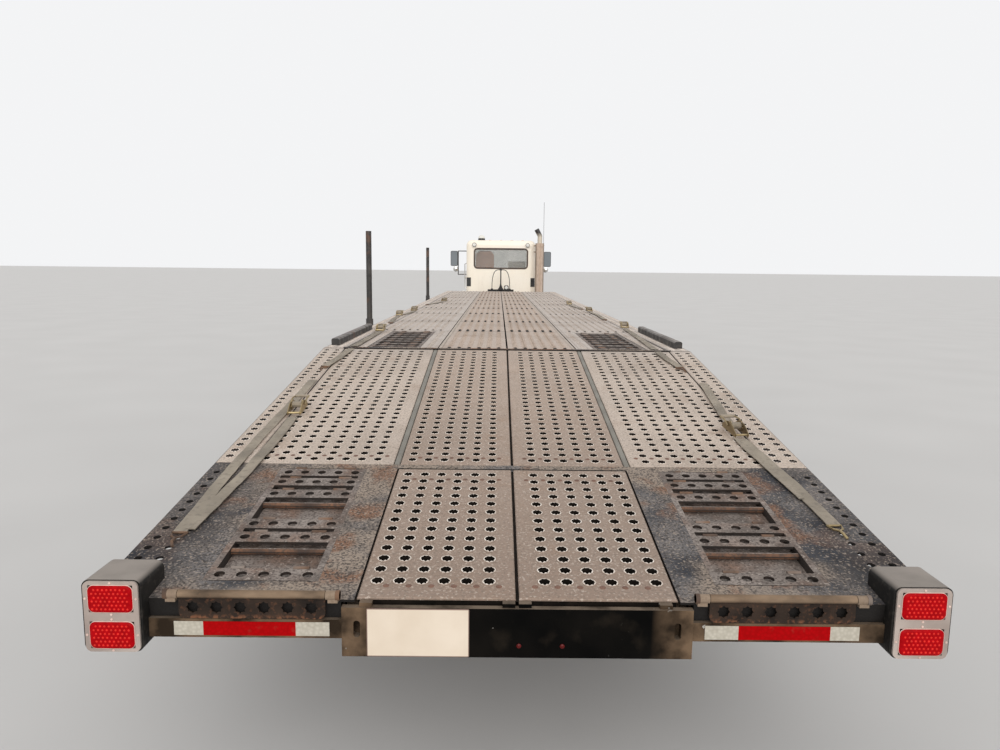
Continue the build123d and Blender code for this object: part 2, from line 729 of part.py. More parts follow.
def make_landing_gear():
    legs = []
    x, half = BEAM_X, LANDING_LEG / 2
    for sign in (1, -1):
        legs.append(block(sign * x - half, sign * x + half, LANDING_S - half, LANDING_S + half, 560, BEAM_BOTTOM))
        legs.append(block(sign * x - 48, sign * x + 48, LANDING_S - 48, LANDING_S + 48, 330, 560))
        legs.append(block(sign * x - 130, sign * x + 130, LANDING_S - 120, LANDING_S + 120, 306, 330))
    tie = cross_tube(24, -x, x, LANDING_S, 700)
    shaft = cross_tube(16, x, x + 280, LANDING_S, 780)
    foot = LANDING_S - LANDING_LEG / 2 + 10
    rise = BEAM_BOTTOM
    outline = [(foot - 730, rise - 10), (foot - 670, rise), (foot, rise - 220), (foot, rise - 260)]
    brace = both(side_plate(outline, x - 30, x + 30))
    save("landing_gear", joined(legs + [tie, shaft] + brace))


def make_trailer_axles():
    pieces = []
    inner = TRAILER_OUT - TRAILER_TWIN - TRAILER_TYRE_W / 2
    for s in TRAILER_AXLES:
        axle = cross_tube(AXLE_RADIUS, -inner - 40, inner + 40, s, TRAILER_TYRE_R)
        end = inner + 40
        spindle = cross_tube(SPINDLE_RADIUS, -end - 150, end + 150, s, TRAILER_TYRE_R)
        axle = axle + spindle
        for side in (1, -1):
            seat = TRAILER_TYRE_R + AXLE_RADIUS
            arm = side_plate(
                [(s - 90, seat - 40), (s - 90, seat + 30), (s + 420, BEAM_BOTTOM - 130),
                 (s + 420, BEAM_BOTTOM - 190), (s + 60, seat - 60)],
                side * BEAM_X - 40, side * BEAM_X + 40)
            hanger = block(side * BEAM_X - 60, side * BEAM_X + 60, s + 350, s + 450, BEAM_BOTTOM - 240, BEAM_BOTTOM)
            bag = upright(115, seat + 10, BEAM_BOTTOM, side * BEAM_X, s - 60)
            axle = axle + [arm, hanger, bag]
        pieces.append(axle)
    save("trailer_axles", *pieces)


def make_trailer_mud_flaps():
    rear = TRAILER_AXLES[0] - TRAILER_TYRE_R - 120
    sheet = block(640, 1240, rear, rear + 12, 250, 850)
    hanger = block(BEAM_X + BEAM_FLANGE / 2, 1240, rear - 20, rear + 32, 850, 890)
    save("trailer_mud_flaps", *both(sheet + hanger))


# Wheels


def tyre_ring(middle, width, radius):
    """Half section of a tyre on its rim as (axial, radial) points."""
    half = width / 2
    return [
        (middle - half * 0.82, RIM_RADIUS - RIM_T),
        (middle - half * 0.86, RIM_RADIUS + 16),
        (middle - half, (RIM_RADIUS + radius) / 2),
        (middle - half * 0.94, radius - 34),
        (middle - half * 0.78, radius),
        (middle + half * 0.78, radius),
        (middle + half * 0.94, radius - 34),
        (middle + half, (RIM_RADIUS + radius) / 2),
        (middle + half * 0.86, RIM_RADIUS + 16),
        (middle + half * 0.82, RIM_RADIUS - RIM_T),
    ]


def turned(points):
    return revolve(Plane.XY * Polygon(*points, align=None), Axis.X)


def ring(a0, a1, r0, r1):
    return turned([(a0, r0), (a1, r0), (a1, r1), (a0, r1)])


def disc_with_bore(a0, a1, r1, bore_end):
    """A hub turned with a blind bore that the spindle runs in."""
    bore = SPINDLE_RADIUS + SPINDLE_CLEAR
    return turned([(a0, bore), (bore_end, bore), (bore_end, 0), (a1, 0), (a1, r1), (a0, r1)])


def twin_wheel(outer_middle, spacing, width, radius, axle_end):
    """Two tyres on their rims, bolted to one hub and drum."""
    inner_middle = outer_middle - spacing
    joint = (outer_middle + inner_middle) / 2
    tyres = [turned(tyre_ring(m, width, radius)) for m in (inner_middle, outer_middle)]
    rims = ring(inner_middle + width * 0.3, outer_middle - width * 0.3, RIM_RADIUS - RIM_T, RIM_RADIUS)
    disc = ring(joint - DISC_T, joint + DISC_T, HUB_RADIUS - 10, RIM_RADIUS)
    drum_in = inner_middle - width / 2 + 60
    drum = ring(drum_in, joint, DRUM_RADIUS - DRUM_T, DRUM_RADIUS)
    web = ring(joint - DISC_T, joint, HUB_RADIUS - 10, DRUM_RADIUS)
    hub = disc_with_bore(axle_end + 2, joint + 190, HUB_RADIUS, axle_end + 152)
    return joined(tyres + [rims, disc, drum, web, hub])


def steer_wheel(middle, width, radius):
    """One tyre on a rim whose disc bulges outwards over the hub."""
    tyre = turned(tyre_ring(middle, width, radius))
    face = middle + 70
    disc = ring(face - DISC_T, face, HUB_RADIUS - 10, RIM_RADIUS)
    drum = ring(middle - 90, face, DRUM_RADIUS - DRUM_T, DRUM_RADIUS)
    hub = disc_with_bore(middle - 60, face + 60, HUB_RADIUS, middle + 60)
    return joined([tyre, disc, drum, hub])


def make_wheels():
    front = Pos(0, along(FRONT_AXLE_S), TRUCK_TYRE_R) * steer_wheel(STEER_X + 160, TRUCK_TYRE_W, TRUCK_TYRE_R)
    save_truck("front_wheel_right", front)
    save_truck("front_wheel_left", other_side(front))
    truck_end = TRUCK_OUT - TRUCK_TWIN - TRUCK_TYRE_W / 2 + 40
    for name, s in zip(("rear", "front"), DRIVE_AXLES):
        wheel = twin_wheel(TRUCK_OUT, TRUCK_TWIN, TRUCK_TYRE_W, TRUCK_TYRE_R, truck_end)
        wheel = Pos(0, along(s), TRUCK_TYRE_R) * wheel
        save_truck(f"drive_wheel_{name}_right", wheel)
        save_truck(f"drive_wheel_{name}_left", other_side(wheel))
    trailer_end = TRAILER_OUT - TRAILER_TWIN - TRAILER_TYRE_W / 2 + 40
    for name, s in zip(("rear", "front"), TRAILER_AXLES):
        wheel = twin_wheel(TRAILER_OUT, TRAILER_TWIN, TRAILER_TYRE_W, TRAILER_TYRE_R, trailer_end)
        wheel = Pos(0, along(s), TRAILER_TYRE_R) * wheel
        save(f"trailer_wheel_{name}_right", wheel)
        save(f"trailer_wheel_{name}_left", other_side(wheel))


# Tractor chassis


def frame_rail():
    low = RAIL_TOP - RAIL_HEIGHT
    web = block(RAIL_X - RAIL_T, RAIL_X, FRAME_REAR_S, FRAME_FRONT_S, low, RAIL_TOP)
    upper = block(RAIL_X - RAIL_FLANGE, RAIL_X, FRAME_REAR_S, FRAME_FRONT_S, RAIL_TOP - RAIL_T, RAIL_TOP)
    lower = block(RAIL_X - RAIL_FLANGE, RAIL_X, FRAME_REAR_S, FRAME_FRONT_S, low, low + RAIL_T)
    return web + upper + lower


def make_chassis():
    rail = frame_rail()
    low = RAIL_TOP - RAIL_HEIGHT
    cross = []
    for s in (FRAME_REAR_S, 15030, 16600, 17900, 19300):
        cross.append(block(-RAIL_X + RAIL_T, RAIL_X - RAIL_T, s, s + 90, low + 40, RAIL_TOP - 40))
    # Mud flap hangers and flaps behind the drive wheels
    hanger = block(-1190, 1190, FRAME_REAR_S - 60, FRAME_REAR_S, RAIL_TOP - 90, RAIL_TOP - 40)
    flaps = both(block(620, 1190, FRAME_REAR_S - 50, FRAME_REAR_S - 38, 260, RAIL_TOP - 90))
    # Rear suspension saddles and torque arms over both drive axles
    saddle = block(RAIL_X, RAIL_X + 100, 14950, 15150, 480, RAIL_TOP - 60)
    beam_x = RAIL_X + 55
    walking_beam = side_plate(
        [(14300, 615), (15050, 530), (15800, 615), (15800, 655), (15050, 610), (14300, 655)], beam_x - 40, beam_x + 40)
    saddles = both(saddle) + both(walking_beam)
    # Front leaf springs with their hangers
    springs = []
    for side in (1, -1):
        x = side * (RAIL_X - 40)
        for s in (20260, 21340):
            springs.append(block(x - 40, x + 40, s - 30, s + 30, 590, low))
        springs.append(side_plate(
            [(20230, 600), (20800, 560), (21370, 600), (21370, 640), (20800, 600), (20230, 640)], x - 40, x + 40))
    cab_mounts = []
    for s in (19050, 20150):
        cab_mounts += both(block(RAIL_X - RAIL_FLANGE, RAIL_X, s - 60, s + 60, RAIL_TOP, CAB_FLOOR_Z))
    rails = rail + other_side(rail)
    rails = rails + saddles + springs + cab_mounts
    save_truck("chassis_rails", rails)
    deck = block(-RAIL_X, RAIL_X, 17000, POGO_S + 80, RAIL_TOP, RAIL_TOP + DECK_PLATE_T)
    save_truck("chassis_cross", *cross, joined([hanger] + flaps), deck)


def make_fifth_wheel():
    """Coupling plate with its throat open to the rear, on two side stands."""
    top = FIFTH_WHEEL_Z
    outline = [(-460, -330), (-140, -480), (-60, -120), (60, -120), (140, -480), (460, -330), (460, 300), (300, 420),
               (-300, 420), (-460, 300)]
    plate = Pos(0, along(HITCH_S), top - 40) * extrude(Polygon(*outline, align=None), 40, dir=(0, 0, 1))
    throat_r = KINGPIN_RADIUS + 12
    throat = upright(throat_r, top - 100, top + 20, 0, HITCH_S)
    mouth = block(-throat_r, throat_r, HITCH_S - 500, HITCH_S, top - 100, top + 20)
    plate = plate - [throat, mouth]
    stands = []
    for side in (1, -1):
        x = side * 330
        stands.append(side_plate(
            [(HITCH_S - 260, RAIL_TOP), (HITCH_S + 260, RAIL_TOP), (HITCH_S + 110, top - 40),
             (HITCH_S - 110, top - 40)], x - 30, x + 30))
        stands.append(block(side * 360 - 75, side * 360 + 75, HITCH_S - 420, HITCH_S + 420, RAIL_TOP, RAIL_TOP + 16))
    save_truck("fifth_wheel", plate + stands)


def make_side_tanks():
    """Round fuel tanks on both sides under the cab and two boxes on the frame behind it."""
    tank = long_tube(310, 17650, 18930, 800, 640)
    tank = fillet(tank.edges(), 30)
    brackets = [block(RAIL_X, 620, s, s + 60, 720, 800) for s in (17900, 18600)]
    save_truck("fuel_tanks", *both(tank + brackets))
    box = block(600, 1130, 16950 + 60, 17560, 640, 1240)
    box = fillet(box.edges().filter_by(Axis.Y), 20)
    tool_box = box + block(RAIL_X, 600, 17100, 17500, 760, 900)
    save_truck("side_boxes", *both(tool_box), *both(step_box()))


def step_box():
    """Battery box with treads under a door."""
    upper = block(620, 1130, 19060, 20060, 560, 900)
    lower = block(640, 1180, 19120, 20000, 330, 360)
    posts = [block(1120, 1140, s, s + 20, 330, 600) for s in (19140, 19960)]
    back = block(RAIL_X, 620, 19200, 19900, 700, 880)
    tread_plate = block(620, 1180, 19060, 20060, 900, 912)
    return joined([upper, lower, back, tread_plate] + posts)


def make_bumper():
    low, top = BUMPER
    outline = [(-1210, -150), (-1180, -30), (-900, 0), (900, 0), (1180, -30), (1210, -150), (1190, -150), (1160, -50),
               (895, -22), (-895, -22), (-1160, -50), (-1190, -150)]
    shell = Pos(0, along(FRONT_S), low) * extrude(Polygon(*outline, align=None), top - low, dir=(0, 0, 1))
    eyes = []
    for side in (1, -1):
        x = side * (RAIL_X - 20)
        arm = block(x - 20, x + 20, FRAME_FRONT_S, FRONT_S - 22, low + 60, top - 60)
        arm = arm + block(x - 60, x + 60, FRAME_FRONT_S, FRAME_FRONT_S + 20, low + 60, RAIL_TOP - 60)
        eyes.append(arm)
    eye = []
    for side in (1, -1):
        x = side * (RAIL_X - 20)
        lug = block(x - 20, x + 20, FRONT_S - 170, FRONT_S - 60, low - 70, low + 60)
        hole = Pos(x, along(FRONT_S - 115), low - 30) * Rot(0, 90, 0) * Cylinder(20, 60)
        eye.append(lug - hole)
    s, z = HOOD_PIVOT
    lugs = []
    for side in (1, -1):
        x0, x1 = sorted((side * (HOOD_ARM_X[1] + 6), side * (RAIL_X - 36)))
        lugs.append(block(x0, x1, s - 20, FRONT_S - 22, low + 60, z + 20))
        p0, p1 = sorted((side * (HOOD_ARM_X[0] - 10), side * (HOOD_ARM_X[1] + 10)))
        lugs.append(cross_tube(HOOD_PIN, p0, p1, s, z))
    save_truck("bumper", joined([shell] + eyes + eye + lugs))


def make_powertrain():
    block_z = (740, 1400)
    rear, front = GEARBOX_S
    engine = block(-330, 330, front, front + ENGINE_LENGTH, *block_z)
    gearbox = long_tube(190, rear, front, 0, 790)
    shaft = long_tube(48, PINION_S + SHAFT_GAP, rear, 0, 650)
    feet = [block(side * 366 - 36, side * 366 + 36, s, s + 80, 800, 860) for side in (1, -1) for s in (20600, 21150)]
    save_truck("engine", joined([engine, gearbox, shaft] + feet))
    save_truck("radiator", block(-RAIL_X + 4, RAIL_X - 4, 21440, 21560, RAIL_TOP, 1340))


def make_truck_axles():
    end = TRUCK_OUT - TRUCK_TWIN - TRUCK_TYRE_W / 2 + 40
    pieces = []
    for s in DRIVE_AXLES:
        housing = cross_tube(88, -end + 40, end - 40, s, TRUCK_TYRE_R)
        bowl = Pos(0, along(s), TRUCK_TYRE_R) * Sphere(190)
        spindle = cross_tube(SPINDLE_RADIUS, -end - 150, end + 150, s, TRUCK_TYRE_R)
        seat = [block(x - 40, x + 40, s - 70, s + 70, TRUCK_TYRE_R, 596.5) for x in (-467, 467)]
        pieces.append(joined([housing, bowl, spindle] + seat))
    link = long_tube(48, DRIVE_AXLES[0] + 150, DRIVE_AXLES[1] - 150, 0, 560)
    nose = long_tube(60, DRIVE_AXLES[1] + 150, PINION_S, 0, 600)
    drive = joined(pieces + [link, nose])
    beam_z = 420
    beam = block(-620, 620, FRONT_AXLE_S - 50, FRONT_AXLE_S + 50, beam_z - 55, beam_z + 55)
    ends = []
    for side in (1, -1):
        rise = [(620, 365), (800, 452), (STEER_X, 452), (STEER_X, 568), (760, 568), (600, 475)]
        plan = Polygon(*[(side * x, z) for x, z in rise], align=None)
        arm = Pos(0, along(FRONT_AXLE_S) + 50, 0) * extrude(Plane.XZ * plan, 100, dir=(0, -1, 0))
        ends.append(arm)
    pads = [block(x - 40, x + 40, FRONT_AXLE_S - 60, FRONT_AXLE_S + 60, beam_z, 559.7) for x in (-372, 372)]
    eyes = [upright(STEER_R, 452, 568, side * STEER_X, FRONT_AXLE_S) for side in (1, -1)]
    bores = [upright(KINGPIN_BORE, 400, 620, side * STEER_X, FRONT_AXLE_S) for side in (1, -1)]
    save_truck("truck_axles", drive, joined([beam] + ends + pads + eyes) - bores)


def make_knuckles():
    """Steering knuckle: a fork above and below the axle's eye, its kingpin and the wheel spindle."""
    z = TRUCK_TYRE_R
    pin = upright(STEER_PIN, z - KNUCKLE_HEIGHT / 2, z + KNUCKLE_HEIGHT / 2, STEER_X, FRONT_AXLE_S)
    forks = []
    for z0, z1 in ((z - KNUCKLE_HEIGHT / 2, z - 60), (z + 60, z + KNUCKLE_HEIGHT / 2)):
        forks.append(block(STEER_X - 40, STEER_X + 96, FRONT_AXLE_S - 40, FRONT_AXLE_S + 40, z0, z1))
    back = block(STEER_X + 80, STEER_X + 96, FRONT_AXLE_S - 60, FRONT_AXLE_S + 60, z - 95, z + 95)
    spindle = cross_tube(SPINDLE_RADIUS, STEER_X + 80, STEER_X + 216, FRONT_AXLE_S, z)
    knuckle = joined([pin, back, spindle] + forks)
    save_truck("knuckle_right", knuckle)
    save_truck("knuckle_left", other_side(knuckle))


# Cab


def cab_outline(inset):
    """Side view of the cab, drawn in by inset on every face."""
    return [
        (CAB_BACK_S + inset, CAB_FLOOR_Z + inset),
        (CAB_BACK_S + inset, CAB_ROOF_Z - inset),
        (ROOF_FRONT_S - inset * 0.4, CAB_ROOF_Z - inset),
        (CAB_FRONT_S - 30 - inset * 1.05, COWL_Z + 40),
        (CAB_FRONT_S - inset, COWL_Z),
        (CAB_FRONT_S - inset, CAB_FLOOR_Z + inset),
    ]


def cab_solid(inset, rounding):
    half = CAB_HALF_WIDTH - inset
    body = side_plate(cab_outline(inset), -half, half)
    long_edges = body.edges().filter_by(Axis.Y).sort_by(Axis.Z)[-2:]
    posts = body.edges().filter_by(Axis.Z).sort_by(Axis.Y)[:2]
    across = body.edges().filter_by(Axis.X).group_by(Axis.Z)[-1].sort_by(Axis.Y)[:1]
    return fillet(list(long_edges) + list(posts) + list(across), rounding)


def opening(x0, x1, s0, s1, z0, z1, axis, radius):
    shape = block(x0, x1, s0, s1, z0, z1)
    return fillet(shape.edges().filter_by(axis), radius)


def door_outline(grow):
    return side_plate(
        [
            (DOOR_REAR_S - grow, DOOR_BOTTOM_Z - grow),
            (DOOR_REAR_S - grow, DOOR_TOP_Z + grow),
            (DOOR_FRONT_S - 130 + grow * 0.6, DOOR_TOP_Z + grow),
            (DOOR_FRONT_S + grow, WINDOW_SILL_Z - 20),
            (DOOR_FRONT_S + grow, DOOR_BOTTOM_Z - grow),
        ],
        CAB_HALF_WIDTH - 2 * CAB_WALL,
        CAB_HALF_WIDTH + 200,
    )


def door_window(grow):
    edge = 75 - grow
    return side_plate(
        [
            (DOOR_REAR_S + edge, WINDOW_SILL_Z - grow),
            (DOOR_REAR_S + edge, DOOR_TOP_Z - edge),
            (DOOR_FRONT_S - 150 - edge, DOOR_TOP_Z - edge),
            (DOOR_FRONT_S - edge, WINDOW_SILL_Z + 30),
            (DOOR_FRONT_S - edge, WINDOW_SILL_Z - grow),
        ],
        CAB_HALF_WIDTH - 2 * CAB_WALL,
        CAB_HALF_WIDTH + 200,
    )


def windshield(grow):
    """Two-pane screen opening seen from the front, cut through the sloping face."""
    half, sill, head = CAB_HALF_WIDTH - SCREEN_MARGIN + grow, COWL_Z + 90 - grow, ROOF_SPLIT_Z - 40 + grow
    s0, s1 = ROOF_FRONT_S - 160, CAB_FRONT_S + 100
    return opening(-half, half, s0, s1, sill, head, Axis.Y, 60)


def make_cab():
    outer = cab_solid(0, CAB_CORNER)
    inner = cab_solid(CAB_WALL, CAB_CORNER - CAB_WALL)
    shell = outer - inner
    half = CAB_HALF_WIDTH + 50
    door_cut = [door_outline(DOOR_GAP), other_side(door_outline(DOOR_GAP))]
    width, z0, z1 = REAR_WINDOW
    back_window = opening(-width, width, CAB_BACK_S - 50, CAB_BACK_S + 100, z0, z1, Axis.Y, 80)
    front_window = windshield(0)
    roof = shell & block(-half, half, CAB_BACK_S - 50, CAB_FRONT_S + 50, ROOF_SPLIT_Z, CAB_ROOF_Z + 50)
    floor = shell & block(-half, half, CAB_BACK_S - 50, CAB_FRONT_S + 50, CAB_FLOOR_Z - 50, CAB_FLOOR_Z + CAB_WALL)
    middle = shell & block(-half, half, CAB_BACK_S - 50, CAB_FRONT_S + 50, CAB_FLOOR_Z + CAB_WALL, ROOF_SPLIT_Z)
    rear_post = CAB_BACK_S + CAB_CORNER
    front_post = DOOR_FRONT_S + 40
    back = middle & block(-half, half, CAB_BACK_S - 50, rear_post, 0, 3000)
    front = middle & block(-half, half, front_post, CAB_FRONT_S + 50, 0, 3000)
    sides = middle & block(-half, half, rear_post, front_post, 0, 3000)
    # The screen cuts through both the front and the pillars that belong to the side panels.
    save_truck("cab_roof", roof - front_window)
    save_truck("cab_floor", floor - door_cut)
    save_truck("cab_back", back - back_window)
    save_truck("cab_front", front - front_window)
    hinges = [door_hinge_fixed(z) for z in DOOR_HINGE_Z]
    hinges += [other_side(hinge) for hinge in hinges]
    save_truck("cab_sides", *[solid_with(side, hinges) for side in (sides - door_cut - front_window).solids()])
    door = outer_door(outer, inner)
    save_truck("door_right", door)
    save_truck("door_left", other_side(door))
    make_glass(outer, inner)


def solid_with(side, hinges):
    near = [hinge for hinge in hinges if hinge.center().X * side.center().X > 0]
    return side + near


def door_hinge_fixed(z):
    """Pin held by an ear above and below, on the post in front of the door."""
    x, s = DOOR_HINGE
    length = DOOR_KNUCKLE[1]
    pin = upright(DOOR_PIN, z - 25, z + length + 25, x, s)
    ears = [block(CAB_HALF_WIDTH - 4, x + 8, s - 4, s + 30, z0, z0 + 20) for z0 in (z - 25, z + length + 5)]
    return joined([pin] + ears)


def door_hinge_moving(z):
    """Knuckle round the pin with its tab on the door's skin."""
    x, s = DOOR_HINGE
    radius, length = DOOR_KNUCKLE
    knuckle = upright(radius, z, z + length, x, s)
    tab = block(CAB_HALF_WIDTH - 4, CAB_HALF_WIDTH + 12, s - 60, s, z, z + length)
    return knuckle + tab


def outer_door(outer, inner):
    panel_part = (outer - inner) & door_outline(0)
    door = panel_part - door_window(0)
    x, s = DOOR_HINGE
    hinges = [door_hinge_moving(z) for z in DOOR_HINGE_Z]
    bores = [upright(DOOR_PIN + DOOR_PIN_CLEAR, z - 5, z + DOOR_KNUCKLE[1] + 5, x, s) for z in DOOR_HINGE_Z]
    door = (door + hinges) - bores
    handle = block(CAB_HALF_WIDTH, CAB_HALF_WIDTH + 28, DOOR_REAR_S + 60, DOOR_REAR_S + 200, 1600, 1630)
    return door + handle


def glass_skin():
    """A thin layer half way through the cab's wall."""
    middle = CAB_WALL / 2
    outer = cab_solid(middle - GLASS_T / 2, CAB_CORNER - middle + GLASS_T / 2)
    inner = cab_solid(middle + GLASS_T / 2, CAB_CORNER - middle - GLASS_T / 2)
    return outer - inner


def make_glass(outer, inner):
    skin = glass_skin()
    width, z0, z1 = REAR_WINDOW
    clear = 0.3
    back = skin & opening(
        -width + clear, width - clear, CAB_BACK_S - 50, CAB_BACK_S + 100, z0 + clear, z1 - clear, Axis.Y, 80 - clear
    )
    front = skin & windshield(-clear)
    save_truck("cab_glass", back, front)
    pane = skin & door_window(-clear)
    save_truck("door_glass_right", pane)
    save_truck("door_glass_left", other_side(pane))


def make_cab_inside():
    floor = CAB_FLOOR_Z + CAB_WALL
    seats = []
    for x in (-440, 440):
        base = block(x - 200, x + 200, 19250, 19700, floor, floor + 260)
        cushion = block(x - 250, x + 250, 19200, 19750, floor + 260, floor + 400)
        back = Pos(x, along(19190), floor + 700) * Rot(8, 0, 0) * Box(480, 120, 640)
        seats.append(base + cushion + back)
    save_truck("seats", *seats)
    half = CAB_HALF_WIDTH - CAB_WALL - 12
    front = CAB_FRONT_S - CAB_WALL
    outline = [(20010, 1330), (19990, 1540), (20080, 1610), (front - 60, 1610), (front, 1560), (front, 1330)]
    dash = side_plate(outline, -half, half)
    steering = Pos(-440, along(19800), 1640) * Rot(STEERING_TILT, 0, 0)
    column = steering * Pos(0, 0, -160) * Cylinder(28, 320)
    wheel = steering * Torus(STEERING_R, 15)
    spokes = steering * Box(2 * STEERING_R, 40, 16)
    save_truck("dashboard", joined([dash, column, wheel, spokes]))


def make_roof_fittings():
    """Beacon dome on the roof and two round work lamps at the rear corners."""
    beacon = upright(95, CAB_ROOF_Z, CAB_ROOF_Z + 60, -540, 19250)
    beacon = beacon + upright(70, CAB_ROOF_Z + 60, CAB_ROOF_Z + 150, -540, 19250)
    cab = cab_solid(0, CAB_CORNER)
    lamps = []
    for side in (1, -1):
        lamp = Pos(side * 730, along(CAB_BACK_S + 20), 2510) * Rot(90, 0, 0) * Cylinder(56, 160)
        lamps.append(lamp - cab)
    save_truck("roof_fittings", beacon, *lamps)


def make_stack():
    x, s = 1050, 18740
    guard = upright(118, 1150, 2560, x, s)
    pipe = upright(64, 1060, 2620, x, s)
    tip_path = FilletPolyline((0, 0), (0, 160), (-95, 330), radius=110)
    tip = sweep(Circle(64), path=Plane.XZ * tip_path)
    tip = Pos(x, along(s), 2600) * tip
    bracket = block(RAIL_X - 60, x, s - 40, s + 40, RAIL_TOP, RAIL_TOP + 60)
    rise = block(x - 60, x + 60, s - 60, s + 60, RAIL_TOP, 1160)
    save_truck("exhaust_stack", joined([guard, pipe, tip, bracket, rise]))


def make_pogo_stick():
    """Spring mast on the frame that carries the air and power lines, with a bar across its foot."""
    s, top, low = POGO_S, POGO_BAR_TOP, RAIL_TOP + DECK_PLATE_T
    mast = upright(17, low, POGO_TOP, 0, s)
    foot = block(-120, 120, s - 60, s + 60, low, low + 14)
    bar = block(-350, 350, s - 30, s + 30, top - 60, top)
    legs = [block(x - 20, x + 20, s - 30, s + 30, low, top - 60) for x in (-330, 330)]
    clip = block(-34, 34, s - 16, s + 16, POGO_TOP - 60, POGO_TOP - 24)
    save_truck("pogo_stick", joined([mast, foot, bar, clip] + legs))


def hose(route):
    """A hose on straight runs joined by arcs as large as the runs allow; its radii are printed."""
    points = [Vector(x, along(s), z) for x, s, z in route]
    radii = []
    for before, corner, after in zip(points, points[1:], points[2:]):
        arriving, leaving = corner - before, after - corner
        turn = arriving.get_angle(leaving)
        radii.append(0.45 * min(arriving.length, leaving.length) / tan(turn / 2 * pi / 180))
    print("hose radii", [round(r) for r in radii])
    path = FilletPolyline(*points, radius=radii)
    start = Plane(origin=points[0], z_dir=points[1] - points[0])
    tube = sweep(start * Circle(HOSE_RADIUS), path=path)
    print("hose volume share", round(tube.volume / (pi * HOSE_RADIUS**2 * path.length), 4))
    return tube


def make_hoses():
    """Two air lines that hang in loops from the mast's clip to the bar, one on each side."""
    save_truck("hose_left", hose(HOSE_LEFT))
    save_truck("hose_right", hose(HOSE_RIGHT))


def make_mirrors():
    """Mirror head on two arms from the door, with a whip aerial on the right-hand one."""
    s = MIRROR_S
    head = block(1235, 1440, s - 45, s + 45, 1930, 2360)
    head = fillet(head.edges().filter_by(Axis.Y), 40)
    arms = [block(CAB_HALF_WIDTH, 1222, s - 13, s + 13, z, z + 26) for z in (1680, 2344)]
    tube = upright(14, 1680, 2370, 1222, s)
    neck = block(1215, 1240, s - 12, s + 12, 2100, 2180)
    piece = joined([head, tube, neck] + arms)
    aerial = upright(5, 2360, AERIAL_TOP, 1222, s)
    save_truck("mirror_right", piece + aerial)
    save_truck("mirror_left", other_side(piece))


def hood_form(inset):
    """Centre body of the hood, lofted from the cowl to the nose."""
    rear = RectangleRounded(1560 - 2 * inset, 900 - 2 * inset, 160 - inset)
    nose = RectangleRounded(1180 - 2 * inset, 760 - 2 * inset, 110 - inset)
    rear_face = Plane((0, along(HOOD_REAR_S - inset), 1590 - 450), x_dir=(1, 0, 0), z_dir=(0, 1, 0)) * rear
    front_face = Plane((0, along(HOOD_FRONT_S - inset), 1420 - 380), x_dir=(1, 0, 0), z_dir=(0, 1, 0)) * nose
    return loft([rear_face, front_face])


def fender_form(inset):
    out, inner = FENDER_OUT - inset, 500
    outline = [
        (20215 + inset, 560), (20215 + inset, 900), (20330 + inset, FENDER_TOP_Z - inset),
        (21250, FENDER_TOP_Z - inset), (21760 - inset, 1060 - inset), (21790 - inset, 700), (21790 - inset, 560)
    ]
    fender = side_plate(outline, inner, out)
    top_edges = fender.edges().filter_by(Axis.Y).group_by(Axis.X)[-1]
    return fillet(top_edges, 70 - inset)


def make_hood():
    outer = hood_form(0)
    inner = hood_form(HOOD_SKIN)
    fender, fender_core = fender_form(0), fender_form(HOOD_SKIN)
    form = outer + [fender, other_side(fender)]
    core = inner + [fender_core, other_side(fender_core)]
    hood = form - core
    arch = cross_tube(ARCH_RADIUS, 560, 1400, FRONT_AXLE_S, TRUCK_TYRE_R)
    low = block(-1500, 1500, 20000, 22200, 300, HOOD_BOTTOM_Z)
    behind = block(-CAB_HALF_WIDTH - 25, CAB_HALF_WIDTH + 25, 20000, HOOD_REAR_S, 300, 2000)
    back_wall = block(-780 + HOOD_SKIN, 780 - HOOD_SKIN, HOOD_REAR_S - 20, HOOD_REAR_S + 40, 300, 1590 - HOOD_SKIN)
    grille_hole = block(-430, 430, HOOD_FRONT_S - 100, HOOD_FRONT_S + 50, 860, 1340)
    lamp_holes = both(block(*HEADLAMP_X, HOOD_FRONT_S - 270, HOOD_FRONT_S + 30, *HEADLAMP_Z))
    rear_lobes = block(-1500, 1500, 20000, FRONT_AXLE_S, 560, HOOD_BOTTOM_Z)
    low_front = low - rear_lobes
    hood = hood - [arch, other_side(arch), low_front, behind, back_wall, grille_hole] - lamp_holes
    solids = hood.solids().sort_by(SortBy.VOLUME)
    s, z = HOOD_PIVOT
    arms = []
    for side in (1, -1):
        x0, x1 = sorted((side * HOOD_ARM_X[0], side * HOOD_ARM_X[1]))
        arms.append(block(x0, x1, HOOD_FRONT_S - 60, s + 15, z - 18, z + 18))
    bore = cross_tube(HOOD_PIN + HOOD_PIN_CLEAR, -400, 400, s, z)
    save_truck("hood", solids[-1] + arms - bore)
    bars = [block(-430, 430, HOOD_FRONT_S - 40, HOOD_FRONT_S - 12, z, z + 14) for z in range(880, 1330, 40)]
    frame = block(-430, 430, HOOD_FRONT_S - 48, HOOD_FRONT_S - 2, 860, 1340) - block(
        -412, 412, HOOD_FRONT_S - 60, HOOD_FRONT_S + 10, 878, 1322)
    save_truck("grille", joined([frame] + bars))
    x0, x1 = HEADLAMP_X
    z0, z1 = HEADLAMP_Z
    fit = HEADLAMP_FIT
    lamp = block(x0 + fit, x1 - fit, HOOD_FRONT_S - 150, HOOD_FRONT_S - 78, z0 + fit, z1 - fit)
    save_truck("headlamps", *both(lamp))


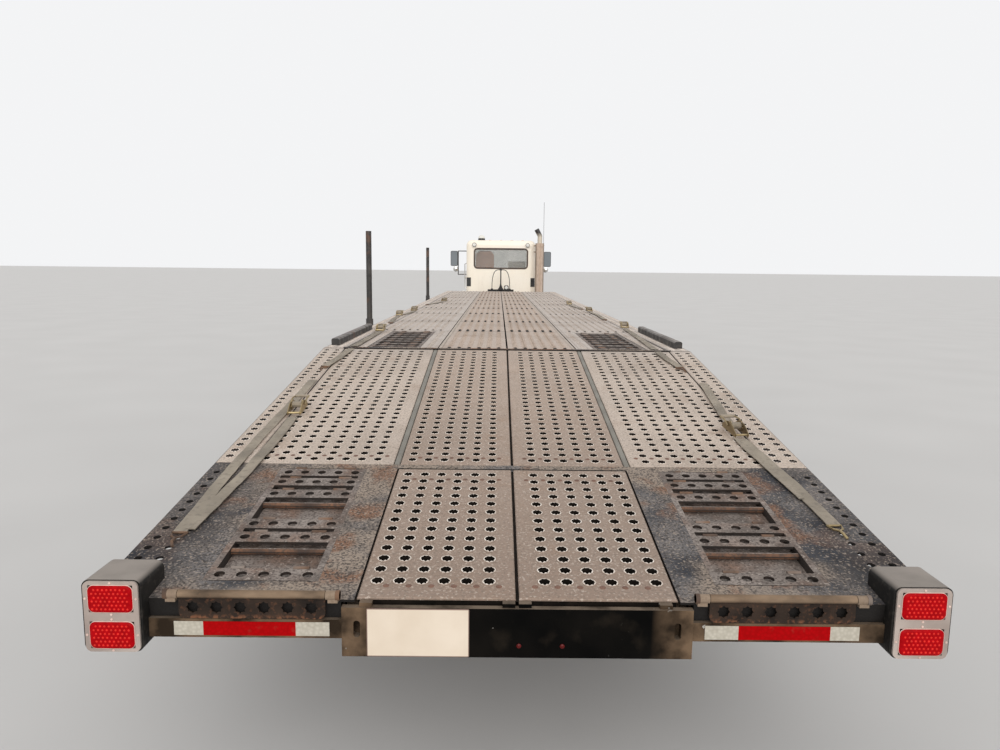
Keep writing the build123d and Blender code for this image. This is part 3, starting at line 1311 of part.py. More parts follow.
def main():
    os.makedirs("parts", exist_ok=True)
    make_trailer_frame()
    make_side_rails()
    make_tail_frame()
    make_centre_panels()
    make_outer_panels()
    make_tread_grids()
    make_rear_beam()
    make_flaps()
    make_lamp_boxes()
    make_edge_bars()
    make_straps()
    make_landing_gear()
    make_trailer_axles()
    make_trailer_mud_flaps()
    make_wheels()
    make_chassis()
    make_fifth_wheel()
    make_side_tanks()
    make_bumper()
    make_powertrain()
    make_truck_axles()
    make_knuckles()
    make_cab()
    make_cab_inside()
    make_mirrors()
    make_stack()
    make_roof_fittings()
    make_pogo_stick()
    make_hoses()
    make_hood()


main()
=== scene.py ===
"""Looks of an articulated car transporter: finishes, perforated deck, wheels, lamps, straps and cab details.

Metres throughout. The truck faces +Y, and a station is a distance forward of the tail's rear edge.
"""

import json
import math

import bpy
import numpy as np
from mathutils import Matrix, Vector


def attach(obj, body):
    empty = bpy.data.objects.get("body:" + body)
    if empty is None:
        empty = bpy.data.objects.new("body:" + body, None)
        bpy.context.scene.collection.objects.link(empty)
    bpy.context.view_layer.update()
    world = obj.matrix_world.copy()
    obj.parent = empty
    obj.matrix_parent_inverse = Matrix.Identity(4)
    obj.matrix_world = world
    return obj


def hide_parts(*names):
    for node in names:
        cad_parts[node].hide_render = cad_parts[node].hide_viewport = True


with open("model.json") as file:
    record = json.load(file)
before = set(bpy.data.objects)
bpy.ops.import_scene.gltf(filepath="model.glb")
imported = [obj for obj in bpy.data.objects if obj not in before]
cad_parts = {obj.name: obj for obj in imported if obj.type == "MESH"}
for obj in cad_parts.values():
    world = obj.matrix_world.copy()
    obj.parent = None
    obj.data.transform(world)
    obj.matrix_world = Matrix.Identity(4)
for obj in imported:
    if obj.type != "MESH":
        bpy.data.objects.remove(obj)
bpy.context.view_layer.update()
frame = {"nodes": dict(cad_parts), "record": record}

# Places and sizes shared with the solid model
MIDDLE = 10.975
TAIL_LENGTH = 3.14
TAIL_EDGE_TOP = 0.91
DECK_TOP = 1.33
TAIL_SLOPE = math.atan2(DECK_TOP - TAIL_EDGE_TOP, TAIL_LENGTH)
TAIL_RUN = math.hypot(DECK_TOP - TAIL_EDGE_TOP, TAIL_LENGTH)
ROW_SEAM = 1.03
FLAT_SEAMS = (3.14, 4.67, 5.87, 7.24, 8.5, 9.69, 10.95, 12.2, 13.5, 14.8, 16.15)
DECK_HALF = 1.285
EDGE_STRIP = 0.15
HALF_GAP = 0.005
TAIL_CENTRE = 0.48
FLAT_CENTRE = 0.458
SEAM_STRIP = 0.03
PANEL_DEPTH = 0.05
HOLE_PITCH = 0.07
POCKET = (0.62, 0.985)
TAIL_TREADS = (0.14, 0.39, 0.491, 0.749, 0.864, 0.963)
LEVEL_TREADS = (3.31, 3.48, 3.69, 3.86, 4.05, 4.23, 4.41, 4.52)
TREAD_HALF = 0.037
FLAT_POCKET = (3.23, 4.6)
REAR_FACE = -0.02
LAMP_FACE = -0.05
LAMP_BOX = (1.105, 1.28, 0.761, 0.984)
LAMP_LEVELS = (0.249, 0.751)
LAMP_SIZE = (0.131, 0.083)
FLAP_MIDDLE = 0.792
FLAP_HOLES = (0.353, 6, 0.889)
NUMBER_PLATE = (-0.45, -0.144, 0.742, 0.893)
TAPE = (0.564, 1.03, 0.797, 0.841)
TAPE_RED = (0.665, 0.942)
HINGE_PLACE = (-0.01, 0.928)
CAB_BACK = 18.95
CAB_HALF = 0.95
REAR_WINDOW = (0.72, 1.885, 2.4)
BEACON = (-0.54, 19.25, 2.64)
WORK_LAMP = (0.73, 18.89, 2.51)
MIRROR_REAR = 19.917
STACK = (1.05, 18.74)
SCREEN_FOOT = (20.33, 1.64)
SCREEN_RAKE = 0.37
STACK_END = (0.955, 2.93)
TANK = (0.8, 0.64, 0.31)
TRUCK_R, TRAILER_R = 0.51, 0.464
RIM_RADIUS = 0.286

# The camera stands behind the tail, at a tall person's eye height
CAMERA_PLACE = (-0.068, -2.161, 1.9)
CAMERA_PITCH = 8.05
CAMERA_ROLL = 0.62
CAMERA_TURN = -0.21
FOCAL_SHARE = 0.76


def along(station):
    return station - MIDDLE


TAIL = Matrix.Translation((0, along(0), TAIL_EDGE_TOP)) @ Matrix.Rotation(TAIL_SLOPE, 4, "X")
LEVEL = Matrix.Translation((0, along(0), DECK_TOP))


# Materials

# Numbers of a mix node's sockets when it mixes colours
MIX_SHARE, MIX_FIRST, MIX_SECOND, MIX_RESULT = 0, 6, 7, 2


class Finish:
    """A principled material built from noise in the object's own coordinates."""

    def __init__(self, name, roughness=0.5, metallic=0.0, specular=0.5):
        self.material = bpy.data.materials.new(name)
        self.material.use_nodes = True
        self.tree = self.material.node_tree
        self.main = self.tree.nodes["Principled BSDF"]
        self.put({"Roughness": roughness, "Metallic": metallic, "Specular IOR Level": specular})
        self.place = self.tree.nodes.new("ShaderNodeTexCoord").outputs["Object"]

    def feed(self, socket, value):
        if isinstance(value, bpy.types.NodeSocket):
            self.tree.links.new(value, socket)
        elif isinstance(value, tuple):
            socket.default_value = (*value, 1.0)[: len(socket.default_value)]
        else:
            socket.default_value = value

    def put(self, values):
        """Feeds the principled node's inputs by name."""
        for name, value in values.items():
            self.feed(self.main.inputs[name], value)
        return self

    def node(self, kind, inputs, **settings):
        node = self.tree.nodes.new("ShaderNode" + kind)
        for name, value in settings.items():
            setattr(node, name, value)
        for key, value in inputs.items():
            self.feed(node.inputs[key], value)
        return node

    def noise(self, scale, detail=4.0, stretch=(1, 1, 1)):
        mapping = self.node("Mapping", {"Vector": self.place, "Scale": stretch})
        inputs = {"Vector": mapping.outputs["Vector"], "Scale": scale, "Detail": detail}
        return self.node("TexNoise", inputs).outputs["Fac"]

    def read(self, source):
        """What a mask reads: noise, X, Y or Z, the distance from the middle, or the way a face looks."""
        if isinstance(source, bpy.types.NodeSocket):
            return source
        if isinstance(source, tuple):
            return self.noise(*source)
        if source == "side":
            return self.maths("ABSOLUTE", self.read("X"))
        vector = self.place
        if source.startswith("facing"):
            vector = self.node("NewGeometry", {}).outputs["Normal"]
        return self.node("SeparateXYZ", {0: vector}).outputs[source[-1]]

    def span(self, source, low, high, first=0.0, last=1.0):
        ends = {"From Min": low, "From Max": high, "To Min": first, "To Max": last}
        return self.node("MapRange", {"Value": self.read(source), **ends}).outputs["Result"]

    def maths(self, operation, first, second=0.0):
        return self.node("Math", {0: first, 1: second}, operation=operation).outputs[0]

    def all_of(self, *masks):
        """The product of masks, each a value or what span needs."""
        values = [self.span(*mask) if isinstance(mask, tuple) else mask for mask in masks]
        total = values[0]
        for value in values[1:]:
            total = self.maths("MULTIPLY", total, value)
        return total

    def apart(self, source, middle):
        """Distance of a coordinate from a middle value."""
        return self.maths("ABSOLUTE", self.maths("SUBTRACT", self.read(source), middle))

    def blend(self, first, *coats):
        """A colour with coats over it, each a colour and the masks that it shows through."""
        for colour, *masks in coats:
            inputs = {MIX_SHARE: self.all_of(*masks), MIX_FIRST: first, MIX_SECOND: colour}
            first = self.node("Mix", inputs, data_type="RGBA").outputs[MIX_RESULT]
        return first

    def colour(self, *layers):
        return self.put({"Base Color": self.blend(*layers)})

    def rough(self, *mask):
        return self.put({"Roughness": self.span(*mask)})

    def bump(self, height, distance):
        node = self.node("Bump", {"Distance": distance, "Height": self.read(height)})
        return self.put({"Normal": node.outputs["Normal"]})


def deck_plate(name="deck_plate", first_column=None):
    """Worn steel: browner towards the rear, paler outside, with thin dark lines along the level deck's
    columns of holes, painted shade of the holes and their rims with some grime.
    """
    f = Finish(name, metallic=0.12)
    wide = f.span("side", 0.485, 0.495)
    coats = [
        ((0.44, 0.336, 0.266), ("Y", along(0.1), along(2.6))),
        ((0.56, 0.464, 0.388), wide, ("Y", along(1.04), along(1.05))),
        (f.blend((0.506, 0.405, 0.336), ((0.538, 0.47, 0.42), wide)), ("Y", along(2.9), along(3.2))),
        ((0.29, 0.226, 0.18), ((1.7, 6), 0.44, 0.7, 0.0, 0.42)),
        ((0.3, 0.19, 0.125), ((5.2, 8), 0.58, 0.74, 0.0, 0.45)),
        ((0.165, 0.128, 0.1), ((125, 3), 0.5, 0.64, 0.0, 0.55)),
        ((0.62, 0.53, 0.45), ((105, 3), 0.57, 0.67, 0.0, 0.5)),
    ]
    if first_column:
        # Dark lines along each column of holes, stronger on the right: painted shade of the holes' shaded
        # sides, with some grime
        columns = f.maths("DIVIDE", f.maths("SUBTRACT", f.read("side"), first_column), HOLE_PITCH)
        near = f.apart(f.maths("FRACT", columns), 0.5)
        lines = f.all_of((near, 0.38, 0.48), ((2.2, 6, (5, 0.5, 1)), 0.34, 0.56, 0.25))
        coats.append(((0.19, 0.14, 0.105), lines, ("X", -0.02, 0.02, 0.06, 0.5)))
    f.colour((0.282, 0.202, 0.155), *coats)
    return f.rough((9, 4), 0.3, 0.7, 0.48, 0.68).bump((210, 5), 0.0005)


def tail_plate():
    """Tail sides: worn black paint gone blue-grey, with tan road dust, rust and coarse grit."""
    f = Finish("tail_plate", 0.6, 0.0, 0.25)
    flap = f.apart("side", FLAP_MIDDLE)
    # Painted shade: the sides of holes and slots and every other face not turned mostly up, and the face
    # behind the flaps, are painted near black
    behind = f.all_of(("Y", along(0.004), along(0.002)), ("Z", 0.906, 0.9))
    shaded = f.maths("MAXIMUM", f.span("facing Z", 0.6, 0.3), behind)
    knuckle = f.all_of(("Y", along(-0.0005), along(-0.002)), ("Z", 0.9, 0.908))
    f.colour(
        (0.034, 0.037, 0.046),
        ((0.165, 0.15, 0.145), ((3.2, 8), 0.43, 0.58)),
        ((0.315, 0.25, 0.198), ((2.3, 9), 0.46, 0.55), ("side", 1.1, 0.98, 0.2, 0.9)),
        ((0.215, 0.108, 0.062), ((5.5, 9), 0.53, 0.62), ("side", 1.12, 1.0, 0.35, 0.9)),
        ((0.018, 0.019, 0.024), ("side", 1.02, 1.14), ("Y", along(0.6), along(0.25)),
         ((4, 8), 0.38, 0.62, 0.45)),
        ((0.036, 0.03, 0.028), ((120, 4), 0.46, 0.6, 0.0, 0.85)),
        ((0.41, 0.335, 0.272), ((110, 5), 0.55, 0.66, 0.0, 0.62)),
        ((0.43, 0.35, 0.285), (flap, 0.05, 0.28, 1.0, 0.0), ("Y", along(0.012), along(0.085), 0.9, 0.0),
         ((24, 6), 0.38, 0.58, 0.2)),
        ((0.27, 0.195, 0.135), knuckle, 0.8),
        # Painted shade, except on the hinge knuckle
        ((0.014, 0.012, 0.011), shaded, f.maths("SUBTRACT", 1.0, knuckle)),
    )
    return f.rough((12,), 0.3, 0.7, 0.5, 0.88).bump((90, 8), 0.0014)


def tread_steel():
    """Treads with pale dust on their flat tops, rusty rods, and painted shade on every upright face, which
    outlines the treads and darkens the rods' sides.
    """
    f = Finish("tread_steel", 0.75, 0.1)
    flat = f.span("facing Z", 0.9, 0.985)
    dusty = f.blend((0.15, 0.124, 0.108), ((0.3, 0.255, 0.228), ((9, 8), 0.35, 0.65)))
    f.colour(
        (0.055, 0.03, 0.02),
        ((0.22, 0.105, 0.055), ((12, 8), 0.35, 0.65)),
        (dusty, flat, ((7, 9), 0.36, 0.54, 0.45)),
        ((0.055, 0.04, 0.032), ((110, 4), 0.48, 0.62, 0.0, 0.75)),
        ((0.43, 0.37, 0.325), flat, ((85, 4), 0.6, 0.68, 0.0, 0.7)),
        # Painted shade: faces turned sideways go near black
        ((0.016, 0.012, 0.01), (f.maths("ABSOLUTE", f.read("facing Z")), 0.17, 0.15, 0.0, 0.92)),
    )
    return f.bump((95, 8), 0.0016)


def lamp_box_paint():
    """Black boxes with dust on top, and a stainless plate behind the lenses."""
    f = Finish("lamp_box_paint", 0.55, 0.0, 0.15)
    steel = f.span("Y", along(-0.0425), along(-0.0435))
    brushed = f.blend((0.37, 0.305, 0.27), ((0.56, 0.48, 0.43), ((5, 6), 0.35, 0.68)))
    f.colour(
        (0.008, 0.008, 0.008),
        ((0.022, 0.02, 0.018), ((5,), 0.35, 0.7)),
        ((0.075, 0.064, 0.055), ((60, 5), 0.54, 0.72, 0.0, 0.4)),
        ((0.29, 0.255, 0.226), ("facing Z", 0.5, 0.95), ((6, 8), 0.34, 0.6, 0.72)),
        (brushed, steel),
    )
    return f.put({"Metallic": f.maths("MULTIPLY", steel, 0.35)}).bump((120, 6), 0.0004)


def plain(name, light, dark, roughness=0.45, scale=12, metallic=0.0, grain=0.0003):
    f = Finish(name, roughness, metallic).colour(dark, (light, ((scale, 6), 0.35, 0.7)))
    f.rough((scale * 2, 4), 0.3, 0.7, roughness * 0.8, min(1.0, roughness * 1.25))
    return f.bump((scale * 9, 4), grain)


def lens(name, colour, glow=0.0, coat=0.8):
    f = Finish(name, 0.12 if coat > 0.5 else 0.3, 0.0, 0.5 if coat > 0.5 else 0.05)
    f.put({"Coat Weight": coat, "Coat Roughness": 0.05, "Emission Color": colour, "Emission Strength": glow})
    f.colour(tuple(c * 0.7 for c in colour), (colour, ((60, 3), 0.35, 0.7)))
    return f.bump((220, 2), 0.0003)


def webbing():
    """Woven polyester: fine cross ribs, faded along its length."""
    f = Finish("webbing", 0.85).put({"Sheen Weight": 0.15})
    f.colour(
        (0.235, 0.195, 0.145),
        ((0.4, 0.335, 0.255), ((5, 8), 0.35, 0.66)),
        ((0.11, 0.092, 0.072), ((45, 6), 0.52, 0.74, 0.0, 0.55)),
    )
    wave = f.node("TexWave", {"Vector": f.place, "Scale": 110, "Distortion": 1.5}, bands_direction="Y")
    return f.bump(wave.outputs["Fac"], 0.0012)


def reflective_tape():
    """Blank red and white conspicuity tape: white at both ends of each strip."""
    f = Finish("reflective_tape", 0.4, 0.0, 0.03)
    middle, half = (TAPE_RED[0] + TAPE_RED[1]) / 2, (TAPE_RED[1] - TAPE_RED[0]) / 2
    cells = f.node("TexVoronoi", {"Vector": f.place, "Scale": 90}).outputs["Distance"]
    shade = f.span(cells, 0.1, 0.7)
    pale = f.blend((0.56, 0.52, 0.442), ((0.455, 0.42, 0.35), shade))
    return f.colour(
        (0.425, 0.002, 0.004),
        ((0.345, 0.002, 0.003), shade),
        (pale, (f.apart("side", middle), half - 0.0006, half + 0.0006)),
        ((0.2, 0.13, 0.09), ((30, 8), 0.6, 0.8, 0.0, 0.25)),
    )


def plate_sheet():
    """Blank cream plate with a thin dark border."""
    f = Finish("plate_sheet", 0.4)
    x0, x1, z0, z1 = NUMBER_PLATE
    edges = []
    for source, low, high in (("X", x0, x1), ("Z", z0, z1)):
        half = (high - low) / 2
        edges.append(f.span(f.apart(source, (low + high) / 2), half - 0.003, half - 0.0022))
    return f.colour(
        (0.715, 0.602, 0.475),
        ((0.8, 0.69, 0.564), ((7, 5), 0.35, 0.7)),
        ((0.23, 0.15, 0.12), f.maths("MAXIMUM", *edges)),
    )


# Further inputs of the principled node
EXTRA = {
    "window": {"IOR": 1.45, "Transmission Weight": 0.86},
    "cab_paint": {"Coat Weight": 0.15, "Coat Roughness": 0.15},
}
WEATHERED = {
    # Name: roughness, metallic and specular; noise and depth of the bump; then the colour and its coats
    "beam_paint": (
        (0.5, 0.0, 0.03), (120, 6), 0.0006, (0.002, 0.002, 0.002),
        ((0.007, 0.006, 0.005), ((5,), 0.35, 0.7)),
        ((0.07, 0.052, 0.036), ((9, 8), 0.57, 0.8, 0.0, 0.25)),
        ((0.17, 0.112, 0.07), ("side", 0.4, 0.47), ((8, 9), 0.38, 0.58, 0.15)),
        ((0.175, 0.135, 0.102), ("facing Z", 0.5, 0.95), ((12, 8), 0.34, 0.6, 0.3)),
        ((0.38, 0.36, 0.33), ((34, 3), 0.72, 0.75)),
    ),
    "flap_paint": (
        (0.65, 0.0, 0.15), (120, 8), 0.001, (0.014, 0.01, 0.008),
        ((0.048, 0.03, 0.021), ((9, 8), 0.36, 0.64)),
        ((0.15, 0.066, 0.034), ((75, 6), 0.56, 0.68, 0.0, 0.4)),
        ((0.27, 0.188, 0.124), ("Z", 0.918, 0.927), ((12, 8, (0.4, 1, 1)), 0.34, 0.58, 0.2)),
        ((0.21, 0.09, 0.046), ("Z", 0.868, 0.858), ((60, 8), 0.5, 0.62, 0.0, 0.8)),
    ),
    "worn_rim": (
        (0.42, 0.2), (300, 3), 0.0004, (0.66, 0.56, 0.475), ((0.88, 0.8, 0.715), ((24, 6), 0.35, 0.65)),
    ),
    # Near black: painted shade inside the holes, on the feet of the panels' lips and under the gap along the
    # middle
    "painted_shade": (
        (0.9, 0.0, 0.1), None, 0.0, (0.006, 0.005, 0.004), ((0.018, 0.013, 0.01), ((30,), 0.3, 0.7)),
    ),
    "frame_paint": (
        (0.5,), (120, 6), 0.0008, (0.016, 0.015, 0.015),
        ((0.04, 0.036, 0.033), ((5,), 0.35, 0.7)),
        ((0.25, 0.212, 0.185), ((2.4, 8), 0.36, 0.58, 0.35, 0.75), ("facing Z", 0.3, 0.9)),
        ((0.17, 0.08, 0.042), ((6.5, 10), 0.57, 0.66, 0.0, 0.5)),
        ((0.13, 0.108, 0.09), ((22, 8), 0.45, 0.75, 0.0, 0.4)),
    ),
    "rusty_steel": (
        (0.8, 0.1), (95, 8), 0.0016, (0.05, 0.034, 0.027),
        ((0.19, 0.105, 0.062), ((12, 8), 0.35, 0.65)),
        ((0.27, 0.232, 0.205), ((4.2, 8), 0.5, 0.68, 0.0, 0.85)),
    ),
    "cab_paint": (
        (0.35, 0.0, 0.35), (60,), 0.0002, (0.935, 0.845, 0.715),
        ((0.96, 0.885, 0.77), ((1.7, 6), 0.35, 0.7)),
        ((0.56, 0.48, 0.39), ((5, 8, (1, 1, 0.16)), 0.5, 0.75), ("Z", 1.05, 1.9, 0.5, 0.0)),
        ((0.64, 0.54, 0.43), ((26, 5), 0.62, 0.74, 0.0, 0.25)),
    ),
    "chrome_trim": (
        (0.16, 1.0), None, 0.0, (0.64, 0.62, 0.59), ((0.38, 0.345, 0.3), ((7, 8), 0.58, 0.85, 0.0, 0.8)),
    ),
    # Bronze-brown guard, partly a painted reflection of brown surroundings, with upright light and dark bands
    # of painted reflection set by which way each face points; a paler pipe above it and a sooty tip
    "stack_metal": (
        (0.38, 0.35), (150, 4), 0.0006, (0.2, 0.145, 0.105),
        ((0.64, 0.5, 0.4), ("facing X", -1.0, -0.55)),
        ((0.42, 0.31, 0.235), ("facing X", -0.5, 0.05)),
        ((0.6, 0.47, 0.375), ("facing X", 0.15, 0.45)),
        ((0.19, 0.135, 0.1), ("facing X", 0.6, 0.95)),
        ((0.22, 0.15, 0.105), ((30, 6, (1, 1, 0.4)), 0.5, 0.7, 0.0, 0.5)),
        ((0.64, 0.58, 0.48), ("Z", 2.555, 2.565, 0.0, 0.75)),
        ((0.022, 0.02, 0.022), ("Z", 2.72, 2.84, 0.0, 0.97)),
    ),
    "bright_metal": (
        (0.4, 0.85), (140, 4, (1, 0.1, 1)), 0.0002, (0.5, 0.5, 0.49),
        ((0.27, 0.255, 0.24), ((4, 8), 0.35, 0.68)),
    ),
    "ratchet_metal": (
        (0.4, 0.85), (140, 4, (1, 0.1, 1)), 0.0002, (0.46, 0.36, 0.19),
        ((0.2, 0.15, 0.09), ((4, 8), 0.35, 0.68)),
    ),
    "wheel_tyre": (
        (0.78,), (160, 5), 0.0008, (0.018, 0.018, 0.018),
        ((0.062, 0.056, 0.05), ((6, 8), 0.35, 0.7)),
        ((0.16, 0.138, 0.118), ((2.2, 6), 0.55, 0.75, 0.0, 0.6)),
    ),
    "mud_rubber": (
        (0.62,), (90, 4), 0.0005, (0.0225, 0.0225, 0.0225), ((0.0675, 0.063, 0.0585), ((9, 6), 0.35, 0.7)),
    ),
    "hose_rubber": (
        (0.62,), (90, 4), 0.0005, (0.015, 0.015, 0.015), ((0.045, 0.042, 0.039), ((9, 6), 0.35, 0.7)),
    ),
    "cast_parts": (
        (0.7, 0.2), (70, 8), 0.0015, (0.032, 0.029, 0.027),
        ((0.11, 0.085, 0.068), ((8, 8), 0.35, 0.7)),
        ((0.19, 0.16, 0.135), ((3, 8), 0.52, 0.7, 0.0, 0.8)),
    ),
    "window": (
        (0.05, 0.0, 0.4), None, 0.0, (0.69, 0.69, 0.66), ((0.8, 0.79, 0.76), ((2, 4), 0.35, 0.7)),
    ),
}
# Noise that varies the roughness, and the roughness from and to
SHEEN = {
    "frame_paint": ((14,), 0.3, 0.7, 0.38, 0.75),
    "rusty_steel": ((20,), 0.3, 0.7, 0.6, 0.92),
    "cab_paint": ((3,), 0.3, 0.7, 0.3, 0.48),
    "chrome_trim": ((18, 6), 0.3, 0.75, 0.08, 0.3),
    "bright_metal": ((26, 5, (1, 0.2, 1)), 0.3, 0.7, 0.28, 0.55),
    "ratchet_metal": ((26, 5, (1, 0.2, 1)), 0.3, 0.7, 0.28, 0.55),
}
# Two tones of each lesser finish, then roughness, scale of its noise, metallic and depth of its grain
TWO_TONES = {
    "wheel_rim": ((0.44, 0.42, 0.39), (0.2, 0.175, 0.15), 0.5, 7, 0.3),
    "seal_rubber": ((0.11, 0.075, 0.058), (0.055, 0.038, 0.03), 0.7),
    "dark_plastic": ((0.055, 0.053, 0.05), (0.022, 0.022, 0.022), 0.5),
    "mirror_case": ((0.1, 0.095, 0.092), (0.045, 0.042, 0.042), 0.45),
    "seat_cloth": ((0.6, 0.57, 0.51), (0.48, 0.45, 0.4), 0.9, 40, 0.0, 0.0012),
    "seat_back": ((0.66, 0.36, 0.235), (0.56, 0.29, 0.185), 0.9, 9),
    "mirror_glass": ((0.27, 0.29, 0.3), (0.23, 0.25, 0.26), 0.05, 1, 1.0, 0.0),
    "seam_steel": ((0.265, 0.25, 0.215), (0.185, 0.17, 0.145), 0.6, 8, 0.2),
    "level_seam_steel": ((0.5, 0.42, 0.35), (0.38, 0.31, 0.255), 0.6, 8, 0.1),
    "plug_steel": ((0.215, 0.112, 0.076), (0.12, 0.06, 0.04), 0.6, 30, 0.1),
    "row_seam_steel": ((0.215, 0.204, 0.205), (0.11, 0.104, 0.106), 0.6, 14, 0.1),
    "rim_metal": ((0.86, 0.66, 0.58), (0.6, 0.44, 0.38), 0.35, 20, 0.2),
    "hook_rust": ((0.23, 0.13, 0.075), (0.09, 0.055, 0.038), 0.75, 25, 0.1, 0.0012),
    "dull_black": ((0.02, 0.017, 0.015), (0.008, 0.007, 0.007), 0.7),
}
# Colour of each lens, then its glow and its clear coat
LENSES = {
    "red_lens": ((0.43, 0.002, 0.005), 0.08, 0.0),
    "optic": ((0.76, 0.03, 0.02), 0.15, 0.2),
    "dim_lens": ((0.12, 0.006, 0.005), 0.0, 0.3),
    "amber_lens": ((0.75, 0.28, 0.02),),
    "clear_lens": ((0.8, 0.8, 0.78),),
    "white_lens": ((0.9, 0.88, 0.82), 0.0, 0.3),
}


def weathered(name, gloss, bump, depth, *layers):
    f = Finish(name, *gloss).colour(*layers)
    if name in SHEEN:
        f.rough(*SHEEN[name])
    if bump:
        f.bump(bump, depth)
    return f.put(EXTRA.get(name, {}))


FINISHES = {
    "deck_steel": deck_plate(),
    "level_centre_steel": deck_plate("level_centre_steel", 0.059),
    "level_outer_steel": deck_plate("level_outer_steel", 0.583),
    "tail_plate": tail_plate(),
    "lamp_box_paint": lamp_box_paint(),
    "tread_steel": tread_steel(),
    "webbing": webbing(),
    "plate_sheet": plate_sheet(),
    "tape": reflective_tape(),
    **{name: weathered(name, *numbers) for name, numbers in WEATHERED.items()},
    **{name: plain(name, *numbers) for name, numbers in TWO_TONES.items()},
    **{name: lens(name, *numbers) for name, numbers in LENSES.items()},
}
MATERIALS = {name: finish.material for name, finish in FINISHES.items()}


# Mesh building

SIDES = ((1, "right"), (-1, "left"))
# Turns that point the local X axis up or to the rear, and one that sets an outline upright, facing the rear
UP = Matrix.Rotation(-math.pi / 2, 4, "Y")
REAR = Matrix.Rotation(-math.pi / 2, 4, "Z")
UPRIGHT = Matrix.Rotation(math.pi / 2, 4, "X")


def spot(x, station, z, turn):
    return Matrix.Translation((x, along(station), z)) @ turn


def mirrored(sign, a, b):
    """Distances a and b from the middle, as x from and to on the side of the sign."""
    return sorted((sign * a, sign * b))


def circle(sides):
    """Cosine and sine at the corners of a regular polygon."""
    angles = [2 * math.pi * k / sides for k in range(sides)]
    return [(math.cos(angle), math.sin(angle)) for angle in angles]


def band(first, second, sides):
    """Quads between two closed rings of points that start at these numbers."""
    return [(first + k, first + (k + 1) % sides, second + (k + 1) % sides, second + k) for k in range(sides)]


